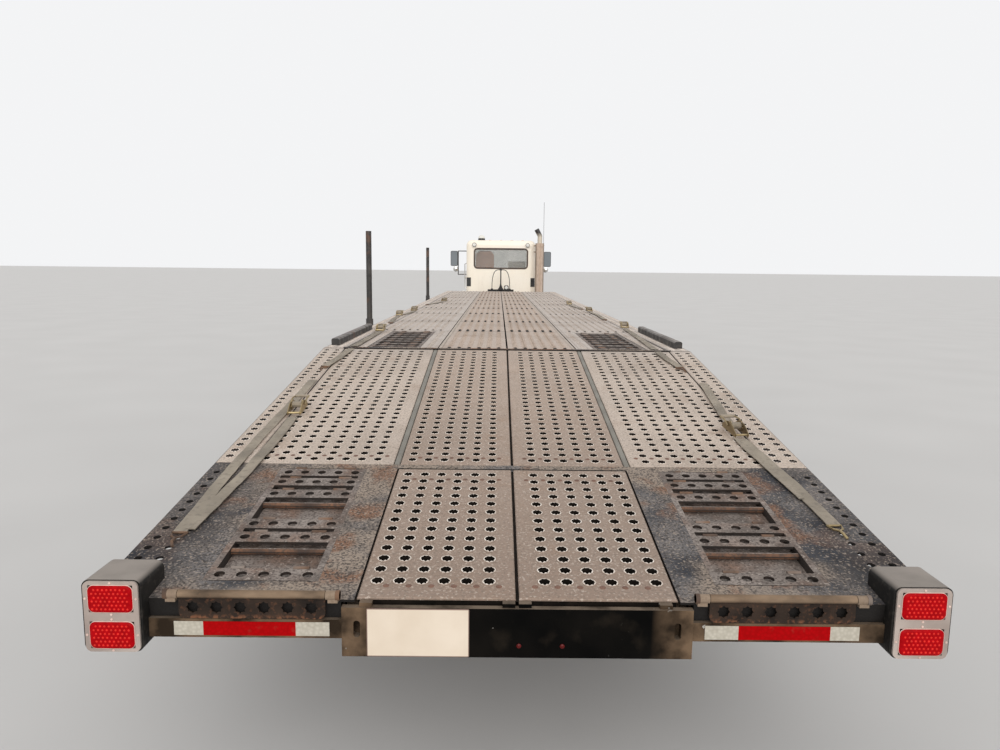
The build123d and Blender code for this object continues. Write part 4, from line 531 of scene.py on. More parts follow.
class Form:
    """Points and faces of one joined mesh, each face with the number of its material."""

    def __init__(self):
        self.points, self.faces, self.marks = [], [], []
        self.count = 0

    def add(self, points, faces, mark=0, place=None):
        points = np.asarray(points, float).reshape(-1, 3)
        if place is not None:
            turn = np.array(place)
            points = points @ turn[:3, :3].T + turn[:3, 3]
        self.points.append(points)
        self.faces.extend([tuple(self.count + i for i in face) for face in faces])
        self.marks.extend([mark] * len(faces) if isinstance(mark, int) else mark)
        self.count += len(points)

    def tile(self, points, faces, marks, offsets, place):
        """The same small form at each offset."""
        many = (np.asarray(points)[None] + np.asarray(offsets, float)[:, None]).reshape(-1, 3)
        repeated = [tuple(i * len(points) + k for k in face) for i in range(len(offsets)) for face in faces]
        self.add(many, repeated, list(marks) * len(offsets), place)

    def box(self, low, high, mark, bevel, place=None):
        """A box with its edges cut by bevel."""
        ends = np.array((low, high), float)
        bevel = min(bevel, 0.45 * float((ends[1] - ends[0]).min()))
        points, faces = [], []
        for k in range(8):
            side = [k >> a & 1 for a in range(3)]
            for flush in range(3):
                inset = [ends[s][a] + (-bevel if s else bevel) for a, s in enumerate(side)]
                inset[flush] = ends[side[flush]][flush]
                points.append(inset)
        for a in range(3):
            b, c = (a + 1) % 3, (a + 2) % 3
            for s in (0, 1):
                face = [3 * (s << a | u << b | v << c) + a for u, v in ((0, 0), (1, 0), (1, 1), (0, 1))]
                faces.append(face if s else face[::-1])
            for k0 in (0, 1 << c, 1 << b, 1 << b | 1 << c):
                k1 = k0 | 1 << a
                faces.append((3 * k0 + b, 3 * k1 + b, 3 * k1 + c, 3 * k0 + c))
        faces.extend((3 * k, 3 * k + 1, 3 * k + 2) for k in range(8))
        self.add(points, faces, mark, place)

    def block(self, sign, x, stations, heights, mark, bevel):
        """A box on one side, from and to each distance from the middle, station and height."""
        low, high = zip(mirrored(sign, *x), map(along, stations), heights)
        self.box(low, high, mark, bevel)

    def turned(self, profile, place, mark=0, sides=48):
        """A profile of (axial, radial) points turned about the local X axis."""
        n = len(profile)
        points = [(a, r * c, r * s) for c, s in circle(sides) for a, r in profile]
        faces = []
        for i in range(sides):
            j = (i + 1) % sides
            faces += [(i * n + k, i * n + k + 1, j * n + k + 1, j * n + k) for k in range(n - 1)]
        self.add(points, faces, mark, place)

    def tube(self, path, radius, sides=12, mark=0, place=None, closed=False, flatten=1.0):
        """A round bar along a path, with flat ends unless it is closed."""
        path = [Vector(p) for p in path]
        n = len(path)
        points, faces = [], []
        side = None
        for i, p in enumerate(path):
            after = path[(i + 1) % n] if closed or i + 1 < n else p
            before = path[i - 1] if closed or i > 0 else p
            ahead = (after - before).normalized()
            if side is None:
                side = ahead.cross(Vector((0, 0, 1) if abs(ahead.z) < 0.9 else (0, 1, 0))).normalized()
            side = (side - ahead * side.dot(ahead)).normalized()
            up = ahead.cross(side)
            points += [tuple(p + side * c * radius + up * s * radius * flatten) for c, s in circle(sides)]
        for i in range(n if closed else n - 1):
            faces += band(i * sides, (i + 1) % n * sides, sides)
        if not closed:
            faces.append(tuple(range(sides))[::-1])
            faces.append(tuple((n - 1) * sides + k for k in range(sides)))
        self.add(points, faces, mark, place)

    def sheet(self, rows, mark=0, place=None):
        """Quads between rows of equally many points."""
        width = len(rows[0])
        faces = []
        for a in range(0, width * (len(rows) - 1), width):
            faces += [(a + k, a + k + 1, a + width + k + 1, a + width + k) for k in range(width - 1)]
        self.add([p for row in rows for p in row], faces, mark, place)

    def prism(self, outline, low, high, mark=0, place=None):
        """An outline of (x, y) points carried from z low to z high."""
        n = len(outline)
        points = [(x, y, z) for z in (low, high) for x, y in outline]
        self.add(points, [*band(0, n, n), tuple(range(n))[::-1], tuple(range(n, 2 * n))], mark, place)

    def piece(self, name, body, slot, *materials, replaced=None):
        mesh = bpy.data.meshes.new(name)
        mesh.from_pydata(np.concatenate(self.points).tolist(), [], self.faces)
        for key in materials:
            mesh.materials.append(MATERIALS[key])
        mesh.polygons.foreach_set("material_index", self.marks)
        mesh.shade_smooth()
        mesh.set_sharp_from_angle(angle=math.radians(32))
        mesh.update()
        add_thing(name, mesh, body, replaced)


def add_thing(name, data, body=None, replaced=None):
    """Links a new object to the scene, and makes it part of a body."""
    thing = bpy.data.objects.new(name, data)
    bpy.context.scene.collection.objects.link(thing)
    if body:
        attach(thing, body)
    if replaced:
        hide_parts(replaced)
    return thing


def rounded(x0, x1, y0, y1, radius, steps=5):
    """Outline of a rectangle with round corners."""
    left, right, low, high = x0 + radius, x1 - radius, y0 + radius, y1 - radius
    points = []
    for start, (x, y) in zip((0, 90, 180, 270), ((right, high), (left, high), (left, low), (right, low))):
        for k in range(steps + 1):
            angle = math.radians(start + 90 * k / steps)
            points.append((x + radius * math.cos(angle), y + radius * math.sin(angle)))
    return points


# Perforated deck

# Marks of a deck's faces: plate, raised rim, and near-black painted shade
PLATE, RIM, SHADE = 0, 1, 2
BORDER = ((1, 0), (1, 1), (0, 1), (-1, 1), (-1, 0), (-1, -1), (0, -1), (1, -1))
# Rings of a hole from the plate inwards: radius and height, and where teeth stand up those at odd points too
NEAR_RINGS = ((0.0225, 0.0), (0.0212, 0.002), (0.0184, 0.0004, 0.0166, 0.0038), (0.0165, -0.014))
MIDDLE_RINGS = ((0.0225, 0.0), (0.02, 0.0024), (0.0174, 0.0022, 0.017, 0.0042), (0.016, -0.014))
FAR_RINGS = ((0.024, 0.0), (0.0185, 0.004), (0.0172, -0.0004), (0.0165, -0.008))


def hole_cell(sides, rings):
    """A square of plate round one raised hole; its inner wall and a floor that closes it are painted shade.
    """
    points = [(x * HOLE_PITCH / 2, u * HOLE_PITCH / 2, 0.0) for x, u in BORDER]
    for ring in rings:
        for k, (c, s) in enumerate(circle(sides)):
            r, w = ring[-2:] if k % 2 else ring[:2]
            points.append((r * c, r * s, w))
    share = sides // 8
    faces, marks = [], [PLATE] * 8
    for k in range(8):
        near = [8 + (share * k + i) % sides for i in range(share + 1)]
        faces.append((k, (k + 1) % 8, *near[::-1]))
    for level, mark in enumerate((PLATE, RIM, SHADE)):
        faces += band(8 + level * sides, 8 + (level + 1) * sides, sides)
        marks += [mark] * sides
    # A floor of painted shade closes the hole
    faces.append(tuple(8 + 3 * sides + k for k in range(sides)))
    return points, faces, marks + [SHADE]


NEAR_CELL = hole_cell(16, NEAR_RINGS)
MIDDLE_CELL = hole_cell(16, MIDDLE_RINGS)
FAR_CELL = hole_cell(8, FAR_RINGS)
# Edge of a pressed panel, from its top to its foot: distance in from the panel's edge, height, and the
# finish, which on the foot is painted shade under the edge
LIP = ((0.012, 0.0, PLATE), (0.004, -0.001, PLATE), (0.0006, -0.004, PLATE), (0.0, -0.008, PLATE),
       (0.004, -0.0085, SHADE), (0.004, -0.046, SHADE))
# On the level deck the lip's edge is painted dark as shade, so that the seams show from far off
SHADED_LIP = ((0.012, 0.0, PLATE), (0.0012, -0.0006, PLATE), (0.0003, -0.002, SHADE), (0.0, -0.046, SHADE))
EDGE_LIP = ((0.004, 0.0, PLATE), (0.0, -0.003, PLATE))
STRIP_RISE = 0.0034


def corners(x0, x1, u0, u1, w):
    return [(x0, u0, w), (x1, u0, w), (x1, u1, w), (x0, u1, w)]


def perforated(form, x0, x1, u0, u1, columns, cell, place, lip=LIP, shift=(0.0, 0.0)):
    """A panel with a grid of holes, moved by shift from its middle, and turned-down lips."""
    rows = int((u1 - u0 - 2 * lip[0][0]) / HOLE_PITCH)
    middle_x, middle_u = (x0 + x1) / 2 + shift[0], (u0 + u1) / 2 + shift[1]
    xs = [middle_x + (i - (columns - 1) / 2) * HOLE_PITCH for i in range(columns)]
    us = [middle_u + (i - (rows - 1) / 2) * HOLE_PITCH for i in range(rows)]
    form.tile(*cell, [(x, u, 0.0) for u in us for x in xs], place)
    half = HOLE_PITCH / 2
    inner = corners(xs[0] - half, xs[-1] + half, us[0] - half, us[-1] + half, 0.0)
    for inset, w, mark in lip:
        outer = corners(x0 + inset, x1 - inset, u0 + inset, u1 - inset, w)
        for k in range(4):
            m = (k + 1) % 4
            form.add([inner[k], inner[m], outer[m], outer[k]], [(0, 3, 2, 1)], mark, place)
        inner = outer
    return xs, us


def buttons(form, xs, u, place, radius=0.0105, rise=0.0022):
    """Small domed plugs beside the holes."""
    profile = ((0.0, radius), (rise * 0.6, radius * 0.82), (rise * 0.95, radius * 0.45), (rise, 0.0))
    for x in xs:
        form.turned(profile, place @ Matrix.Translation((x, u, 0)) @ UP, 0, 10)


DECK_MATERIALS = ("deck_steel", "worn_rim", "painted_shade")
LEVEL_CENTRE = ("level_centre_steel", "level_centre_steel", "painted_shade")
LEVEL_OUTER = ("level_outer_steel", "level_outer_steel", "painted_shade")
# The tail's two rows of panels: from, to, how far the holes lie forward of the middle, and their kind
ROWS = (
    (0.014, ROW_SEAM - 0.019, 0.015, NEAR_CELL),
    (ROW_SEAM + 0.029, TAIL_RUN - 0.016, -0.018, MIDDLE_CELL),
)
# How far the grids of holes lie outwards of their panel's middle, and plugs inwards of the holes
CENTRE_SHIFT, OUTER_SHIFT, LEVEL_SHIFT = 0.017, 0.01, 0.015
CENTRE_PLUGS, OUTER_PLUGS = 0.031, 0.035
LEVEL_GAP = 0.004
LEVEL_SPANS = [(s0 + LEVEL_GAP, s1 - LEVEL_GAP) for s0, s1 in zip(FLAT_SEAMS, FLAT_SEAMS[1:])]
PLUG_INSET = 0.051
TAIL_INNER = HALF_GAP + TAIL_CENTRE
LEVEL_INNER = HALF_GAP + FLAT_CENTRE
OUTER_EDGE = DECK_HALF - EDGE_STRIP - 0.002


def tail_centre_panels():
    form, plugs = Form(), Form()
    for row, (u0, u1, forward, cell) in enumerate(ROWS):
        for sign in (1, -1):
            x0, x1 = mirrored(sign, HALF_GAP, TAIL_INNER)
            xs, us = perforated(form, x0, x1, u0, u1, 6, cell, TAIL, shift=(sign * CENTRE_SHIFT, forward))
            for u in (us[0] + 0.03,) if row else (us[0] - 0.027, us[-1] - 0.046):
                buttons(plugs, [x - sign * CENTRE_PLUGS for x in xs], u, TAIL)
    form.piece("tail_centre_sheet", "trailer", "deck_steel", *DECK_MATERIALS, replaced="centre_panels")
    plugs.piece("tail_centre_plugs", "trailer", "rusty_steel", "plug_steel")


def level_centre_panels():
    form, plugs = Form(), Form()
    for u0, u1 in LEVEL_SPANS:
        for sign in (1, -1):
            x0, x1 = mirrored(sign, HALF_GAP, LEVEL_INNER)
            xs, _ = perforated(form, x0, x1, u0, u1, 6, FAR_CELL, LEVEL, SHADED_LIP)
            for u in (u0 + PLUG_INSET, u1 - PLUG_INSET):
                buttons(plugs, xs, u, LEVEL, 0.015, 0.011)
    form.piece("level_centre_sheet", "trailer", "deck_steel", *LEVEL_CENTRE, replaced="centre_panels")
    plugs.piece("level_centre_plugs", "trailer", "rusty_steel", "dull_black")


def tail_outer_panels():
    form, plugs = Form(), Form()
    u0, u1, forward, cell = ROWS[1]
    for sign in (1, -1):
        x0, x1 = mirrored(sign, TAIL_INNER + SEAM_STRIP, OUTER_EDGE)
        xs, us = perforated(form, x0, x1, u0, u1, 8, cell, TAIL, shift=(sign * OUTER_SHIFT, forward))
        buttons(plugs, [x - sign * OUTER_PLUGS for x in xs], us[0] + 0.045, TAIL)
    form.piece("tail_outer_sheet", "trailer", "deck_steel", *DECK_MATERIALS, replaced="outer_panels")
    plugs.piece("tail_outer_plugs", "trailer", "rusty_steel", "plug_steel")


def level_outer_panels():
    inner = LEVEL_INNER + SEAM_STRIP
    first, last = LEVEL_SPANS[0]
    # Around the pocket of the first panel: x from and to, stations from and to, columns of holes
    around = (
        (inner, POCKET[0], first, last, 1),
        (POCKET[1], OUTER_EDGE, first, last, 2),
        (*POCKET, FLAT_POCKET[1], last, 0),
        (*POCKET, first, FLAT_POCKET[0], 0),
    )
    for sign, side in SIDES:
        form, plugs = Form(), Form()
        for a, b, u0, u1, columns in around:
            x0, x1 = mirrored(sign, a, b)
            if columns:
                perforated(form, x0, x1, u0, u1, columns, FAR_CELL, LEVEL, SHADED_LIP)
            else:
                form.box((x0, u0, -PANEL_DEPTH), (x1, u1, 0), 0, 0.003, LEVEL)
        x0, x1 = mirrored(sign, inner, OUTER_EDGE)
        for u0, u1 in LEVEL_SPANS[1:]:
            xs, _ = perforated(form, x0, x1, u0, u1, 8, FAR_CELL, LEVEL, SHADED_LIP, (sign * LEVEL_SHIFT, 0))
            for u in (u0 + PLUG_INSET, u1 - PLUG_INSET):
                buttons(plugs, xs, u, LEVEL, 0.011, 0.007)
        name = f"level_outer_sheet_{side}"
        form.piece(name, "trailer", "deck_steel", *LEVEL_OUTER, replaced="outer_panels")
        plugs.piece(f"level_outer_plugs_{side}", "trailer", "rusty_steel", "dull_black")


def seam_bars():
    """Flat bars between the centre and outer panels."""
    level_span = (LEVEL_SPANS[0][0], LEVEL_SPANS[-1][1])
    for name, finish, half, (u0, u1), place in (
        ("tail_seam_bars", "seam_steel", TAIL_INNER, ROWS[1][:2], TAIL),
        ("level_seam_bars", "level_seam_steel", LEVEL_INNER, level_span, LEVEL),
    ):
        form = Form()
        for sign in (1, -1):
            x0, x1 = mirrored(sign, half + 0.003, half + SEAM_STRIP - 0.003)
            form.box((x0, u0, -PANEL_DEPTH), (x1, u1, -0.002), 0, 0.003, place)
        form.piece(name, "trailer", "deck_steel", finish, replaced="outer_panels")


def edge_sheets():
    """Perforated cover strips along both edges, on the side rails and on the upper tail."""
    form = Form()
    raised = Matrix.Translation((0, 0, STRIP_RISE))
    for sign in (1, -1):
        x0, x1 = mirrored(sign, OUTER_EDGE + 0.004, DECK_HALF - 0.002)
        perforated(form, x0, x1, ROW_SEAM + 0.03, TAIL_RUN - 0.02, 2, NEAR_CELL, TAIL @ raised, EDGE_LIP)
        for s0, s1 in zip(FLAT_SEAMS, FLAT_SEAMS[1:]):
            perforated(form, x0, x1, s0 + 0.003, s1 - 0.003, 2, FAR_CELL, LEVEL @ raised, EDGE_LIP)
    form.piece("edge_sheets", "trailer", "deck_steel", *DECK_MATERIALS)


# Tail and rear face


def tread_knuckles():
    """Rusty tabs along the front edge of every tread."""
    form = Form()
    for sign in (1, -1):
        for place, stations in ((TAIL, TAIL_TREADS), (LEVEL, LEVEL_TREADS)):
            for u in stations:
                for a, b in ((0.667, 0.718), (0.875, 0.919)):
                    ends = [(x, u + TREAD_HALF + 0.004, -0.003) for x in mirrored(sign, a, b)]
                    form.tube(ends, 0.008, 10, 0, place)
    form.piece("tread_knuckles", "trailer", "rusty_steel", "rusty_steel")


def row_seam_plate():
    """Blue-grey cross plate between the two rows of panels, and a dark strip of painted shade under the gap
    along the middle.
    """
    form, bed = Form(), Form()
    form.box((-TAIL_INNER, ROW_SEAM - 0.017, -0.012), (TAIL_INNER, ROW_SEAM + 0.026, -0.006), 0, 0.001, TAIL)
    form.piece("row_seam_plate", "trailer", "deck_steel", "row_seam_steel")
    # A near-black strip under the centre gap: painted shade over the frame that would show through
    for u0, u1, _, _ in ROWS:
        bed.box((-HALF_GAP, u0, -0.013), (HALF_GAP, u1, -0.009), 0, 0.001, TAIL)
    bed.piece("centre_gap_shade", "trailer", "frame_paint", "painted_shade")


def registration_plate():
    """Blank plate on the rear beam."""
    form = Form()
    form.prism(rounded(*NUMBER_PLATE, 0.004), -0.0028, 0.0, 0, spot(0, REAR_FACE - 0.003, 0, UPRIGHT))
    form.piece("blank_plate", "trailer", "bright_metal", "plate_sheet")


def lamp_lens(form, x, z, y):
    """A rounded red lens with rows of small bright optics."""
    width, height = LAMP_SIZE
    outline = rounded(x - width / 2, x + width / 2, z - height / 2, z + height / 2, 0.018, 6)
    n = len(outline)
    points, faces = [], []
    for inset, lift in ((0.0, 0.0), (0.0, 0.004), (0.003, 0.007), (0.009, 0.0085)):
        wide, tall = 1 - inset / (width / 2), 1 - inset / (height / 2)
        points += [(x + (px - x) * wide, y - lift, z + (pz - z) * tall) for px, pz in outline]
    for level in range(3):
        faces += band(level * n, (level + 1) * n, n)
    form.add(points, [*faces, tuple(3 * n + k for k in range(n))], 0)
    dome = ((0.0, 0.0034), (0.001, 0.0026), (0.0014, 0.0012), (0.0015, 0.0))
    for row in range(6):
        for column in range(9):
            dx = (column - 4) * 0.0128 + (0.0064 if row % 2 else 0)
            if abs(dx) < width / 2 - 0.01:
                place = Matrix.Translation((x + dx, y - 0.0085, z + (row - 2.5) * 0.0118))
                form.turned(dome, place @ REAR, 1, 8)


def tail_lamps():
    """Two lenses on each lamp box, with bright rims and screws."""
    form, trim = Form(), Form()
    z_middle, height = (LAMP_BOX[2] + LAMP_BOX[3]) / 2, LAMP_BOX[3] - LAMP_BOX[2]
    y = along(LAMP_FACE)
    wide, tall = LAMP_SIZE[0] / 2, LAMP_SIZE[1] / 2
    for sign in (1, -1):
        x = sign * (LAMP_BOX[0] + LAMP_BOX[1]) / 2
        screws = [(0, 0.0075), (0, -0.0075), (0, 0.104), (0, -0.104)]
        for level in LAMP_LEVELS:
            z = LAMP_BOX[2] + height * level
            lamp_lens(form, x, z, y + 0.002)
            screws += [(side * (wide + 0.009), height * (level - 0.5)) for side in (-1, 1)]
            rim = rounded(x - wide, x + wide, z - tall, z + tall, 0.019, 6)
            trim.tube([(px, y - 0.0006, pz) for px, pz in rim], 0.0018, 6, 0, closed=True)
        for dx, dz in screws:
            place = spot(x + dx, LAMP_FACE, z_middle + dz, REAR)
            trim.turned(((-0.001, 0.004), (0.0018, 0.0034), (0.0026, 0.0)), place, 0, 10)
    form.piece("tail_lenses", "trailer", "red_lens", "red_lens", "optic", replaced="tail_lamps")
    trim.piece("lens_rims", "trailer", "bright_metal", "rim_metal")


def marker_lamps():
    """Dim side markers on the lamp boxes, and two small round ones over the plate."""
    form = Form()
    for sign in (1, -1):
        form.block(sign, (LAMP_BOX[1] - 0.004, LAMP_BOX[1] + 0.003), (-0.03, 0.015), (0.915, 0.94), 0, 0.002)
    for x in (0.005, 0.135):
        place = spot(x, REAR_FACE, 0.778, REAR)
        form.turned(((-0.001, 0.0075), (0.002, 0.007), (0.004, 0.004), (0.0045, 0.0)), place, 0, 16)
    form.piece("marker_lamps", "trailer", "red_lens", "dim_lens")


def reflectors():
    form = Form()
    for sign in (1, -1):
        form.block(sign, TAPE[:2], (-0.0084, -0.0062), TAPE[2:], 0, 0.0006)
    form.piece("reflective_strips", "trailer", "red_lens", "tape")


def hinge_trim():
    """Dusty caps on the ends of the hinge tubes."""
    form = Form()
    s, z = HINGE_PLACE
    for sign in (1, -1):
        for x in (0.536, 1.048):
            form.tube([(end, along(s), z) for end in mirrored(sign, x - 0.006, x + 0.006)], 0.015, 16)
    form.piece("hinge_trim", "trailer", "rusty_steel", "rusty_steel")


def flap_teeth():
    """Pressed teeth round the holes of both flaps, with darkness in them."""
    inset, count, z = FLAP_HOLES
    for sign, side in SIDES:
        form = Form()
        for i in range(count):
            x = sign * FLAP_MIDDLE + (i / (count - 1) - 0.5) * inset
            points, faces = [], []
            for lift in (-0.0046, -0.0036):
                for k, (c, s) in enumerate(circle(24)):
                    for r in (0.0212, 0.0158 if k % 3 else 0.0196):
                        points.append((x + r * c, along(HINGE_PLACE[0]) + lift, z + r * s))
            for a in range(0, 48, 2):
                # Outer and inner points of this corner and the next, and the same four further forward
                b, c, d = a + 1, (a + 2) % 48, (a + 2) % 48 + 1
                e, f, g, h = 48 + a, 48 + b, 48 + c, 48 + d
                faces += [(a, b, d, c), (e, g, h, f), (b, f, h, d), (a, c, g, e)]
            form.add(points, faces, 0)
        form.piece(f"flap_teeth_{side}", f"flap_{side}_body", "frame_paint", "flap_paint")


# Straps

WEB_THICKNESS = 0.0032
RATCHET_SIDE = ((-0.075, 0.004), (0.085, 0.004), (0.095, 0.018), (0.05, 0.048), (0.015, 0.056),
                (-0.03, 0.046), (-0.078, 0.02))
HOOK_EYE = ((-0.026, 0.0, 0.008), (0.026, 0.0, 0.008), (0.018, -0.03, 0.009), (0.0, -0.045, 0.01),
            (-0.018, -0.03, 0.009))
HOOK_POINT = ((0.0, -0.045, 0.01), (0.0, -0.07, 0.012), (0.006, -0.088, 0.004), (0.012, -0.08, -0.012))


def ribbon(form, path, width, place):
    """Flat webbing along (x, u, height) points, turned to lie across its own direction."""
    dense = []
    for a, b in zip(path, path[1:]):
        a, b = Vector(a), Vector(b)
        steps = max(2, int((b - a).length / 0.04))
        dense.extend(a.lerp(b, i / steps) for i in range(steps))
    dense.append(Vector(path[-1]))
    rows = []
    for i, p in enumerate(dense):
        ahead = (dense[min(i + 1, len(dense) - 1)] - dense[max(i - 1, 0)]).normalized()
        side = ahead.cross(Vector((0, 0, 1))).normalized() * width / 2
        ripple = 0.0011 * math.sin(i * 0.9) + 0.0008 * math.sin(i * 2.3)
        up = Vector((0, 0, WEB_THICKNESS + ripple))
        low = Vector((0, 0, ripple))
        crown = up * 1.12
        row = (p - side + low, p - side + up, p - side * 0.4 + crown, p + side * 0.4 + crown, p + side + up,
               p + side + low, p - side + low)
        rows.append([tuple(v) for v in row])
    form.sheet(rows, 0, place)


def ratchet(form, at):
    """A ratchet buckle: two side plates, a spool with webbing, toothed wheels and a bent handle."""
    upright = Matrix(((0, 0, 1, 0), (1, 0, 0, 0), (0, 1, 0, 0), (0, 0, 0, 1)))
    radii = [0.026 if k % 2 else 0.021 for k in range(24)]
    teeth = [(0.012 + r * c, 0.034 + r * s) for r, (c, s) in zip(radii, circle(24))]
    for side in (-1, 1):
        form.prism(RATCHET_SIDE, -0.0018, 0.0018, 0, at @ Matrix.Translation((side * 0.031, 0, 0)) @ upright)
        form.prism(teeth, -0.0015, 0.0015, 0, at @ Matrix.Translation((side * 0.0265, 0, 0)) @ upright)
        handle = [(side * 0.038, 0.01, 0.036), (side * 0.038, 0.06, 0.052), (side * 0.036, 0.115, 0.048)]
        form.tube(handle, 0.0042, 8, 0, at)
    # Bars across: half length, place along and height, radius, sides and material
    for half, u, z, radius, sides, mark in (
        (0.036, 0.115, 0.048, 0.0085, 10, 1),
        (0.03, 0.012, 0.034, 0.0165, 14, 1),
        (0.036, -0.066, 0.014, 0.006, 8, 0),
    ):
        form.tube([(-half, u, z), (half, u, z)], radius, sides, mark, at)


# Each strap: plane, (x, u) points from end to end, ratchet's place, whether it starts at a hook, width
STRAPS = (
    (TAIL, ((-1.172, 0.4), (-1.184, 0.9), (-1.18, 1.4), (-1.166, 1.9), (-1.16, 2.33)), None, True, 0.048),
    (TAIL, ((-1.15, 0.42), (-1.114, 0.9), (-1.098, 1.33), (-1.102, 1.64)), (-1.104, 1.74), False, 0.048),
    (TAIL, ((1.162, 0.5), (1.15, 0.85), (1.112, 1.25), (1.098, 1.39)), (1.097, 1.48), True, 0.05),
    (TAIL, ((1.128, 0.72), (1.108, 0.95), (1.078, 1.25), (1.072, 1.4)), None, False, 0.02),
    (TAIL, ((1.1, 1.572), (1.13, 1.95), (1.16, 2.34)), None, False, 0.048),
    (TAIL, ((-1.158, 2.64), (-1.12, 2.85), (-1.08, 3.11)), None, True, 0.048),
    (LEVEL, ((-1.08, 3.17), (-1.085, 3.9), (-1.093, 4.4)), (-1.095, 4.492), False, 0.048),
    (TAIL, ((1.102, 2.7), (1.07, 2.9), (1.042, 3.11)), None, True, 0.048),
    (LEVEL, ((1.042, 3.17), (1.095, 4.1), (1.14, 5.03)), (1.148, 5.122), False, 0.048),
    (LEVEL, ((-1.15, 5.5), (-1.19, 6.1), (-1.2, 6.52)), (-1.202, 6.612), True, 0.048),
    (LEVEL, ((-1.18, 6.8), (-1.15, 7.2), (-1.142, 7.51)), (-1.14, 7.602), True, 0.048),
    (LEVEL, ((1.12, 6.3), (1.15, 7.1), (1.132, 7.74)), (1.13, 7.832), True, 0.048),
    (LEVEL, ((1.1, 8.5), (1.06, 9.1), (1.045, 9.65)), (1.043, 9.742), True, 0.048),
    (LEVEL, ((-1.13, 9.3), (-1.02, 9.9), (-0.965, 10.34)), (-0.958, 10.432), True, 0.048),
)
BRIGHT_HOOK = 2


def straps():
    bands, metal = Form(), Form()
    for number, (place, points, buckle, hooked, width) in enumerate(STRAPS):
        rest = 0.0075 + 0.0015 * (number % 2)
        ribbon(bands, [(x, u, rest) for x, u in points], width, place)
        if hooked:
            (xa, ua), (xb, ub) = points[:2]
            turn = Matrix.Rotation(-math.atan2(xb - xa, ub - ua), 4, "Z")
            at = place @ Matrix.Translation((xa, ua, 0)) @ turn
            mark = 0 if number == BRIGHT_HOOK else 2
            metal.tube(HOOK_EYE, 0.0045, 8, mark, at, closed=True)
            metal.tube(HOOK_POINT, 0.0052, 8, mark, at)
        if buckle:
            (xa, ua), (xb, ub) = points[-2:]
            turn = Matrix.Rotation(-math.atan2(xb - xa, ub - ua), 4, "Z")
            ratchet(metal, place @ Matrix.Translation((*buckle, rest)) @ turn)
    bands.piece("strap_webbing", "trailer", "webbing", "webbing", replaced="tie_down_straps")
    materials = ("ratchet_metal", "webbing", "hook_rust")
    metal.piece("strap_ratchets", "trailer", "bright_metal", *materials, replaced="tie_down_straps")


# Wheels

TYRE, STEEL, CASTING = 0, 1, 2
HAND_HOLES, HAND_HOLE_RADIUS = 10, 0.026
NUTS, NUT_CIRCLE = 10, 0.1425
DISC_INNER = 0.15
DRUM = (0.12, 0.208)


def tyre_profile(middle, width, radius):
    """Half turn of the tyre's section from one bead to the other, with four tread grooves."""
    half = width / 2
    bead = RIM_RADIUS - 0.004
    section = [(-0.8, bead), (-0.86, bead + 0.012), (-0.955, bead + 0.055), (-1.0, (bead + radius) / 2)]
    for a, depth in ((-0.985, 0.062), (-0.95, 0.034), (-0.9, 0.014), (-0.8, 0.003)):
        section.append((a, radius - depth))
    tread = []
    for groove in (-0.55, -0.19, 0.19, 0.55):
        crown = radius - 0.002 * abs(groove)
        for da, depth in ((-0.045, 0.0), (-0.03, 0.014), (0.03, 0.014), (0.045, 0.0)):
            tread.append((groove + da, crown - depth))
    across = section + tread + [(-a, r) for a, r in section[::-1]]
    return [(middle + a * half, r) for a, r in across]


def disc(form, place, radius, inner, level):
    """A flat wheel disc at axial level with round hand holes."""
    sides = 16
    mid, half = (radius + inner) / 2, (radius - inner) / 2
    step = 2 * math.pi / HAND_HOLES
    for n in range(HAND_HOLES):
        # Each sector's edge, and its hole's upper and lower rim, as depth, angle and radius
        around = []
        for c, s in circle(sides):
            m = max(abs(c), abs(s))
            around.append((0.0, (n + 0.5 * (c / m)) * step, mid + half * (s / m)))
        for lift in (0.0, -0.012):
            for c, s in circle(sides):
                around.append((lift, n * step + HAND_HOLE_RADIUS * c / mid, mid + HAND_HOLE_RADIUS * s))
        points = [(level + lift, r * math.cos(angle), r * math.sin(angle)) for lift, angle, r in around]
        faces = []
        for pair in zip(band(0, sides, sides), band(sides, 2 * sides, sides)):
            faces += pair
        form.add(points, faces, STEEL, place)


def nuts(form, place, level):
    profile = ((0.0, 0.0185), (0.014, 0.0185), (0.024, 0.014), (0.03, 0.011), (0.034, 0.0))
    for n in range(NUTS):
        angle = 2 * math.pi * (n + 0.5) / NUTS
        at = place @ Matrix.Rotation(angle, 4, "X") @ Matrix.Translation((level, NUT_CIRCLE, 0))
        form.turned(profile, at, CASTING, 6)


